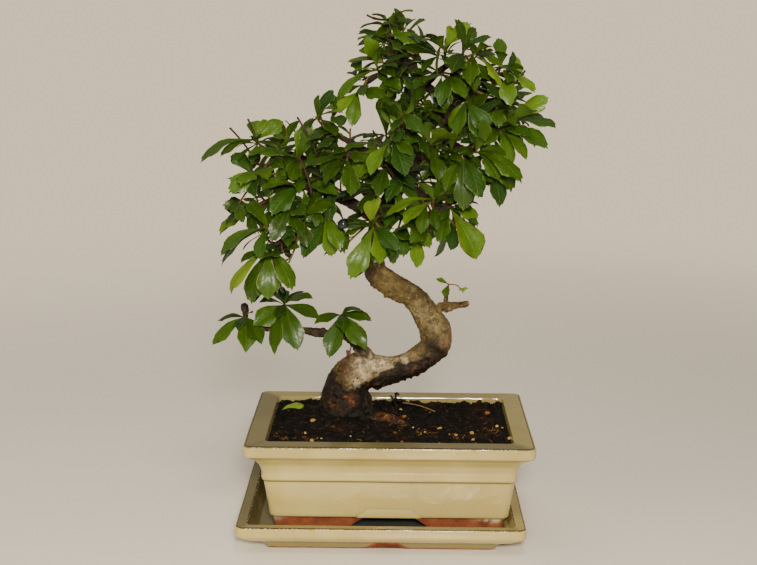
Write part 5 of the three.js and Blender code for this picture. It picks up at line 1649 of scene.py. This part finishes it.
# %% Leaf shape
ALONG = np.array([0, 0.1, 0.25, 0.42, 0.58, 0.73, 0.87, 1.0])
WIDE = np.array([0.08, 0.15, 0.33, 0.6, 0.86, 1.0, 0.99, 0.7])
OVAL = np.array([0.08, 0.25, 0.55, 0.83, 1.0, 0.98, 0.78, 0.36])
BULGE = np.array([0, 0.01, 0.02, 0.03, 0.04, 0.05, 0.07, 0.11])
LEAF_COLUMNS = np.linspace(-1, 1, 7)
LEAF_THICK = 0.42
leaf_rows, leaf_columns = len(ALONG), len(LEAF_COLUMNS)
leaf_grid = np.arange(leaf_rows * leaf_columns).reshape(leaf_rows, leaf_columns)
leaf_inner = np.zeros(leaf_grid.shape, bool)
leaf_inner[1:-1, 1:-1] = True
under_number = leaf_grid.copy()
under_number[leaf_inner] = leaf_grid.size + np.arange(leaf_inner.sum())
upper_faces = grid_faces(leaf_rows, leaf_columns)[:, ::-1]
under_faces = under_number.ravel()[upper_faces[:, ::-1]]
leaf_u, leaf_v = np.meshgrid(LEAF_COLUMNS, ALONG)
leaf_uv = np.stack([leaf_u.ravel() * 0.5 + 0.5, leaf_v.ravel()], axis=-1)
LEAF_UV = [leaf_uv[upper_faces], leaf_uv[upper_faces[:, ::-1]] + [2, 0]]

# Leaves rooted below this height belong to the low branch and the stub.
LOW_LEAVES = 215
# Places of dark leaves, old ones and painted shade in the crown's depth, and of pale young ones, across and
# in height, and how far they reach.
OLD_AND_SHADED_LEAVES = [(12, 384), (30, 395), (53, 401), (12, 407), (-43, 329), (26, 332), (48, 328), (-85, 284),
              (-72, 279), (-29, 288), (73, 315)]
YOUNG_LEAVES = [(0, 302), (55, 311), (21, 277), (-12, 323), (-109, 240), (-88, 173)]
OLD_AND_SHADED_REACH, YOUNG_REACH = 17, 7
INSIDE_BOX = np.array(CAD_BOX) / MM + [[0.1], [-0.1]]


def leaf_shape(leaf):
    """A leaf over its frame. Width follows an outline between the broad and the oval one, to a power
    of the leaf's own, with small teeth at the end. Height is the arch, leaning to the tip, plus the
    fold, less the rolled edge, with a slow wave, a twist and a droop."""
    key = leaf["number"]
    tooth, wave, roll, twist, slim, oval = (draw(key, k, 90) for k in (0, 1, 2, 3, 7, 8))
    is_low = leaf["root"][2] < LOW_LEAVES
    oval = 0.6 + 0.4 * oval if is_low else 0.55 * oval
    tooth = tooth * (1 - 0.7 * oval)
    u, v = leaf_u, leaf_v - BULGE[:, None] * leaf_u ** 2
    sign = np.where(np.arange(leaf_columns) % 2 == 1, 1.0, -1.0)
    v = v + (leaf_v > 0.99) * (sign * (0.01 + 0.03 * tooth) - 0.01)
    nick = (np.abs(u) > 0.99) * (leaf_v > 0.5) * (0.015 + 0.06 * tooth)
    nick = nick * np.where(np.arange(leaf_rows) % 2, 1, -1)[:, None]
    outline = WIDE + (OVAL - WIDE) * oval
    width = outline[:, None] ** (0.9 + 0.6 * slim) * u * (1 + nick)
    half, length = leaf["half"] * (0.84 + 0.2 * slim), leaf["length"]
    lift = leaf["arch"] * length * 4 * v * (1 - v) * (0.7 + 0.6 * v)
    side = np.abs(width)
    lift += half * (BLADE_FOLD * side - (0.14 + 0.34 * roll) * side ** 3)
    lift += 0.03 * length * np.sin(7 * v + 6.28 * wave) * side
    lift += 0.4 * half * (twist - 0.5) * width
    lift -= (0.03 + 0.05 * roll) * length * v ** 4
    points = (leaf["root"] + leaf["along"] * (length * v)[..., None]
              + leaf["across"] * (half * width)[..., None] + leaf["up"] * lift[..., None])
    below = points - leaf["up"] * LEAF_THICK
    points = np.clip(np.vstack([points.reshape(-1, 3), below[leaf_inner]]), *INSIDE_BOX)
    is_outer = key < SOLID_LEAVES
    seen = leaf["centre"][[0, 2]]
    old_and_shaded, young = (bell(lengths(seen - places).min(), reach)
                  for places, reach in ((OLD_AND_SHADED_LEAVES, OLD_AND_SHADED_REACH), (YOUNG_LEAVES, YOUNG_REACH)))
    # Leaves inside the crown get darker tones: painted shade of the crown's depth.
    tone = draw(key, 4, 90) * (0.75 if is_outer else 0.5) + (0.25 if is_outer else 0)
    layers = {"tone": tone * (1 - 0.8 * old_and_shaded), "fresh": max(draw(key, 5, 90) * is_outer, young),
              "dry": draw(key, 6, 90)}
    if is_low:
        layers["tone"] *= 0.6
    return {"points": points, "faces": [upper_faces, under_faces], "uv": LEAF_UV, "layers": layers}


def stem_shape(start, end, radii, seed, sides=6):
    """A thin stem: rings along a line that bows a little, thicker at its two ends."""
    count = max(int(np.linalg.norm(end - start) / 2.5), 2) + 1
    t = np.linspace(0, 1, count)
    bow = 0.04 * np.linalg.norm(end - start) * np.sin(np.pi * t)
    way = unit(end - start)
    first = unit(np.cross(way, least_axis(way)))
    second = np.cross(way, first)
    lean = 6.28 * draw(seed, 7, 91)
    middle = start + (end - start) * t[:, None]
    middle = middle + bow[:, None] * (first * np.cos(lean) + second * np.sin(lean))
    radius = np.interp(t, [0, 1], radii) * (1 + 0.25 * (2 * t - 1) ** 4)
    rings = rings_about(middle, radius[:, None], first, second, sides)
    return closed_tube(rings, finish=1, layers={"tone": draw(seed, 8, 91)})


print("faces of a leaf:", len(upper_faces) + len(under_faces))

# %% Leaf and stem finishes


def own_tone(finish, cloud):
    """Mostly the tone of the leaf or stem itself, and a little of a cloud."""
    return finish.plus(finish.times(finish.layer("tone"), 0.7), finish.times(cloud, 0.3))


def make_leaf_finish():
    """Glossy green, each leaf its own tone, a faint midrib and side veins, and a dull pale underside.
    A few leaves are young and yellow-green, some have a dry red-brown edge, and a pale line along the
    rim is a painted highlight."""
    finish = Finish("leaf_green", gloss=0.22)
    rise, times, math = finish.rise, finish.times, finish.math
    split = finish.node("SeparateXYZ", [("Vector", finish.node("TexCoord").outputs["UV"])])
    across, along = split.outputs["X"], split.outputs["Y"]
    under = math("GREATER_THAN", across, 1.5)
    side = math("SUBTRACT", across, times(under, 2.0))
    from_rib = math("ABSOLUTE", math("SUBTRACT", side, 0.5))
    rib, edge, rim = (rise(from_rib, *ends) for ends in ((0.035, 0.01), (0.43, 0.5), (0.455, 0.495)))
    slanted = math("SUBTRACT", along, times(from_rib, 0.55))
    veins = rise(math("SINE", times(slanted, 52.0)), 0.82, 1.0)
    cloud, dry = finish.clouds(140), finish.layer("dry")
    green = finish.coated(
        finish.ramp(own_tone(finish, cloud), (0.05, "142507"), (0.5, "334d0c"), (0.9, "597616")),
        ("1d3c17", rise(dry, 0.4, 0.15), 0.5),
        ("86a024", rise(finish.layer("fresh"), 0.95, 1.0)),
        ("6d8f2c", veins, 0.1),
        ("7d9038", rib, 0.14),
        ("6e3f1b", rise(dry, 0.87, 1.0), edge, 0.8),
        # pale line along the leaf's rim: a painted highlight
        ("93ad62", rim, rise(cloud, 0.4, 0.6), 0.35),
        ("4a4a12", rise(finish.cells(260), 0.16, 0.08), rise(dry, 0.6, 0.9), 0.5),
        ("58762a", under, 0.5))
    finish.relief(math("SUBTRACT", cloud, times(finish.plus(rib, veins), 0.5)), 0.0003)
    return finish.done(green, finish.between(under, finish.between(cloud, 0.22, 0.42), 0.55))


def make_stem_finish():
    """Young stems, reddish brown, some still olive, black where dry is high, light brown where dead."""
    finish = Finish("young_stem", gloss=0.25)
    cloud = finish.clouds(120)
    color = finish.coated(
        finish.ramp(own_tone(finish, cloud), (0.2, "3a2414"), (0.5, "5a3a1e"), (0.85, "5f5526")),
        ("1a110b", finish.layer("dry")),
        (finish.ramp(cloud, (0.35, "6b4a30"), (0.65, "9c7a58")), finish.layer("dead")))
    finish.relief(finish.clouds(600), 0.0004)
    return finish.done(color, 0.6)


LEAF, STEM = make_leaf_finish(), make_stem_finish()

# %% Pieces of foliage
SPRIG_BEND, SPRIG_SPREAD = 0.62, (-1.1, -0.5, 0.15, 0.75, 1.3)
SPRIG_LEAVES = {"tone": 1.0, "fresh": 0.975}
SIDE_SUNK, END_SUNK = 1.6, 2.2
KEPT_SHARP = 70
by_owner = {}
for leaf in room.blades:
    by_owner.setdefault(leaf["owner"], []).append(leaf)


def sprig_shapes(leaf):
    """A thin reddish twig along a leaf's midrib, bent down at its end, with tiny leaves in a fan."""
    bend = leaf["root"] + leaf["along"] * leaf["length"] * SPRIG_BEND + [0, 0, 0.5]
    end = leaf["root"] + leaf["along"] * leaf["length"] - [0, 0, 5]
    shapes = [stem_shape(leaf["root"], bend, (0.5, 0.42), 76), stem_shape(bend, end, (0.42, 0.35), 77)]
    for k, turn in enumerate(SPRIG_SPREAD):
        start = bend + (end - bend) * k / (len(SPRIG_SPREAD) - 1)
        way = np.array([np.cos(turn), -0.3, np.sin(turn)]) * (5 + 2 * draw(k, 1, 78))
        tiny = blade(start, start + way, np.array([0, -0.8, 0.6]), 0.32, 0.08)
        shapes.append({**leaf_shape({**tiny, "number": k}), "layers": SPRIG_LEAVES})
    return shapes


def shoot_shapes(line, owner):
    """A shoot: its stem, rooted in the wood, and its leaves. The stub's last leaf is a young sprig."""
    sunk = line["start"] - line["way"] * (SIDE_SUNK if line["on_side"] else END_SUNK)
    shapes = [stem_shape(sunk, line["tip"], (1.15, 0.75), owner)]
    leaves = by_owner.get(owner, [])
    if owner == STUB_SHOOT:
        shapes += sprig_shapes(leaves.pop())
    return shapes + [leaf_shape(leaf) for leaf in leaves]


def add_foliage(name, shapes, *nodes):
    """A piece of leaves and stems. Its leaves keep sharp rims."""
    mesh = make_mesh(name, shapes, LEAF, STEM)
    mesh.set_sharp_from_angle(angle=np.radians(KEPT_SHARP))
    return add_piece(mesh, "foliage", *nodes)


for shoot, line in enumerate(lines):
    node = f"leafy_shoot_{shoot + 1:02d}"
    add_foliage(f"fine_shoot_{shoot + 1:02d}", shoot_shapes(line, shoot), node)
inner = {}
for number, name, line in inner_lines:
    if number in by_owner:
        inner.setdefault(name, []).extend(shoot_shapes(line, number))
for name, shapes in inner.items():
    add_foliage(f"inner_leaves_{name}", shapes)
print("foliage pieces:", len(lines) + len(inner))

# %% [markdown]
# ## Last pieces
#
# A leaf and a thin twig have fallen on the soil, and short bare sticks stand up out of the crown. A
# bit of dead plant stands in the soil, a dried bud hangs under the low branch and a dark berry in the
# crown. The squares of plastic mesh over the drainage holes keep the solids' shape and get a finish.

# %% Fallen leaf and twig
FALLEN_LIFT = 0.7


def on_soil(x, y, rise):
    """A place over the soil."""
    return np.array([x, y, soil_height(x, y) + rise])


def bare_stem(start, end, radii, seed, sides=6, finish=0, **layers):
    """A stem without leaves, with a finish and layers of its own."""
    shape = stem_shape(np.array(start, float), np.array(end, float), radii, seed, sides)
    return {**shape, "finish": finish, "layers": layers}


fallen = blade(on_soil(-94, 35, 0.45 + FALLEN_LIFT), on_soil(-74, 55, 0.75 + FALLEN_LIFT),
               np.array([0, -0.3, 1]), 0.5, 0.04)
fallen_shape = {**leaf_shape({**fallen, "number": 7}), "layers": {"tone": 1.0, "fresh": 0.99}}
fallen_leaf = add_foliage("fallen_green_leaf", [fallen_shape], "fallen_leaf")
twig = bare_stem(on_soil(17, 62, 1.5), on_soil(49, 38, 1.7), (0.65, 0.5), 12, sides=8, dead=0.85)
fallen_twig = add_piece(make_mesh("fallen_dry_twig", [twig], STEM), "bark", "fallen_twig")
print(measure(fallen_leaf), measure(fallen_twig))

# %% Bare sticks
# Each stick: its free end, its knee among the leaves, and the place in the wood that it grows from.
BARE_STICKS = [
    ((-132, -16, 357), (-109, -16, 326), (-100.2, -20.9, 326.1)),
    ((-116, -20, 365), (-110, -20, 349), (-112.5, -17.7, 347.5)),
    ((-73, -34, 368), (-56, -34, 336), (-45, -36, 312)),
    ((-71, -50, 338), (-60, -50, 305), (-69, -30, 308)),
    ((-16, 0, 452), (-9, 0, 449), (2, 12, 448)),
    ((85, -20, 427), (83, -20, 423), (76, -26, 422)),
    ((117, -30, 408), (109, -30, 397), (98, -22, 405)),
]
stick_shapes = []
for k, (free_end, knee, root) in enumerate(BARE_STICKS):
    stick_shapes.append(bare_stem(knee, free_end, (1.0, 0.75), 40 + k, tone=0.1, dry=0.45))
    stick_shapes.append(bare_stem(root, knee, (1.15, 1.0), 50 + k, tone=0.1, dry=0.45))
sticks = add_piece(make_mesh("bare_sticks", stick_shapes, STEM), "bark")
print(measure(sticks))

# %% Debris, bud and berry
DEBRIS = [
    ((14, 44, 87), (11, 41, 98)), ((11, 41, 98), (12.5, 40, 107)), ((11, 41, 98), (7.5, 40, 104)),
    ((12.5, 40, 106), (15.5, 40, 105)), ((12, 41, 100), (17, 40, 99.5)), ((8, 44, 87), (14, 41, 95)),
]
debris = [bare_stem(*ends, (1.15, 0.8), 60 + k, dry=0.95) for k, ends in enumerate(DEBRIS)]
debris.append({**lump(np.array([12.4, 40, 106.2]), 1.7, 66, 6, 8), "layers": {"dry": 0.95}})
standing = add_piece(make_mesh("standing_debris", debris, STEM), "soil")

bud = lump(np.array([-30.6, 10, 152.2]), 2.3, 71, 8, 12, 1.0, 0.7)
bud_stalk = bare_stem((-28, 11, 161), (-29.5, 10, 155), (0.6, 0.5), 70, dead=0.4)
bud_shapes = [bud_stalk, {**bud, "layers": {"dry": 0.25, "tone": 0.5}}]
dried_bud = add_piece(make_mesh("dried_bud", bud_shapes, STEM), "bark")


def dark_finish(name, roughness, bumps, depth, *stops):
    """A nearly black finish with faint clouds and fine bumps."""
    finish = Finish(name, roughness=roughness)
    finish.relief(finish.clouds(bumps, 2), depth)
    return finish.done(finish.ramp(finish.clouds(200, 2), *stops))


BERRY = dark_finish("dark_berry", 0.16, 500, 0.0002, (0.35, "0b1113"), (0.65, "182427"))
berry = [bare_stem((-8, -30, 281), (-32.8, -58, 286), (0.8, 0.6), 72, finish=1, dry=0.6),
         lump(np.array([-33.6, -58, 281.6]), 4.4, 73, 12, 16, 1.0, 0.06)]
dark_berry = add_piece(make_mesh("dark_berry", berry, BERRY, STEM), "bark")
print(measure(standing), measure(dried_bud), measure(dark_berry))

# %% Drainage mesh
PLASTIC = dark_finish("dark_plastic", 0.5, 900, 0.0001, (0.3, "151515"), (0.7, "202020"))
for node in ("drainage_mesh_left", "drainage_mesh_right"):
    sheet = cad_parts[node]
    sheet.data.materials.clear()
    sheet.data.materials.append(PLASTIC)
print("meshes finished")
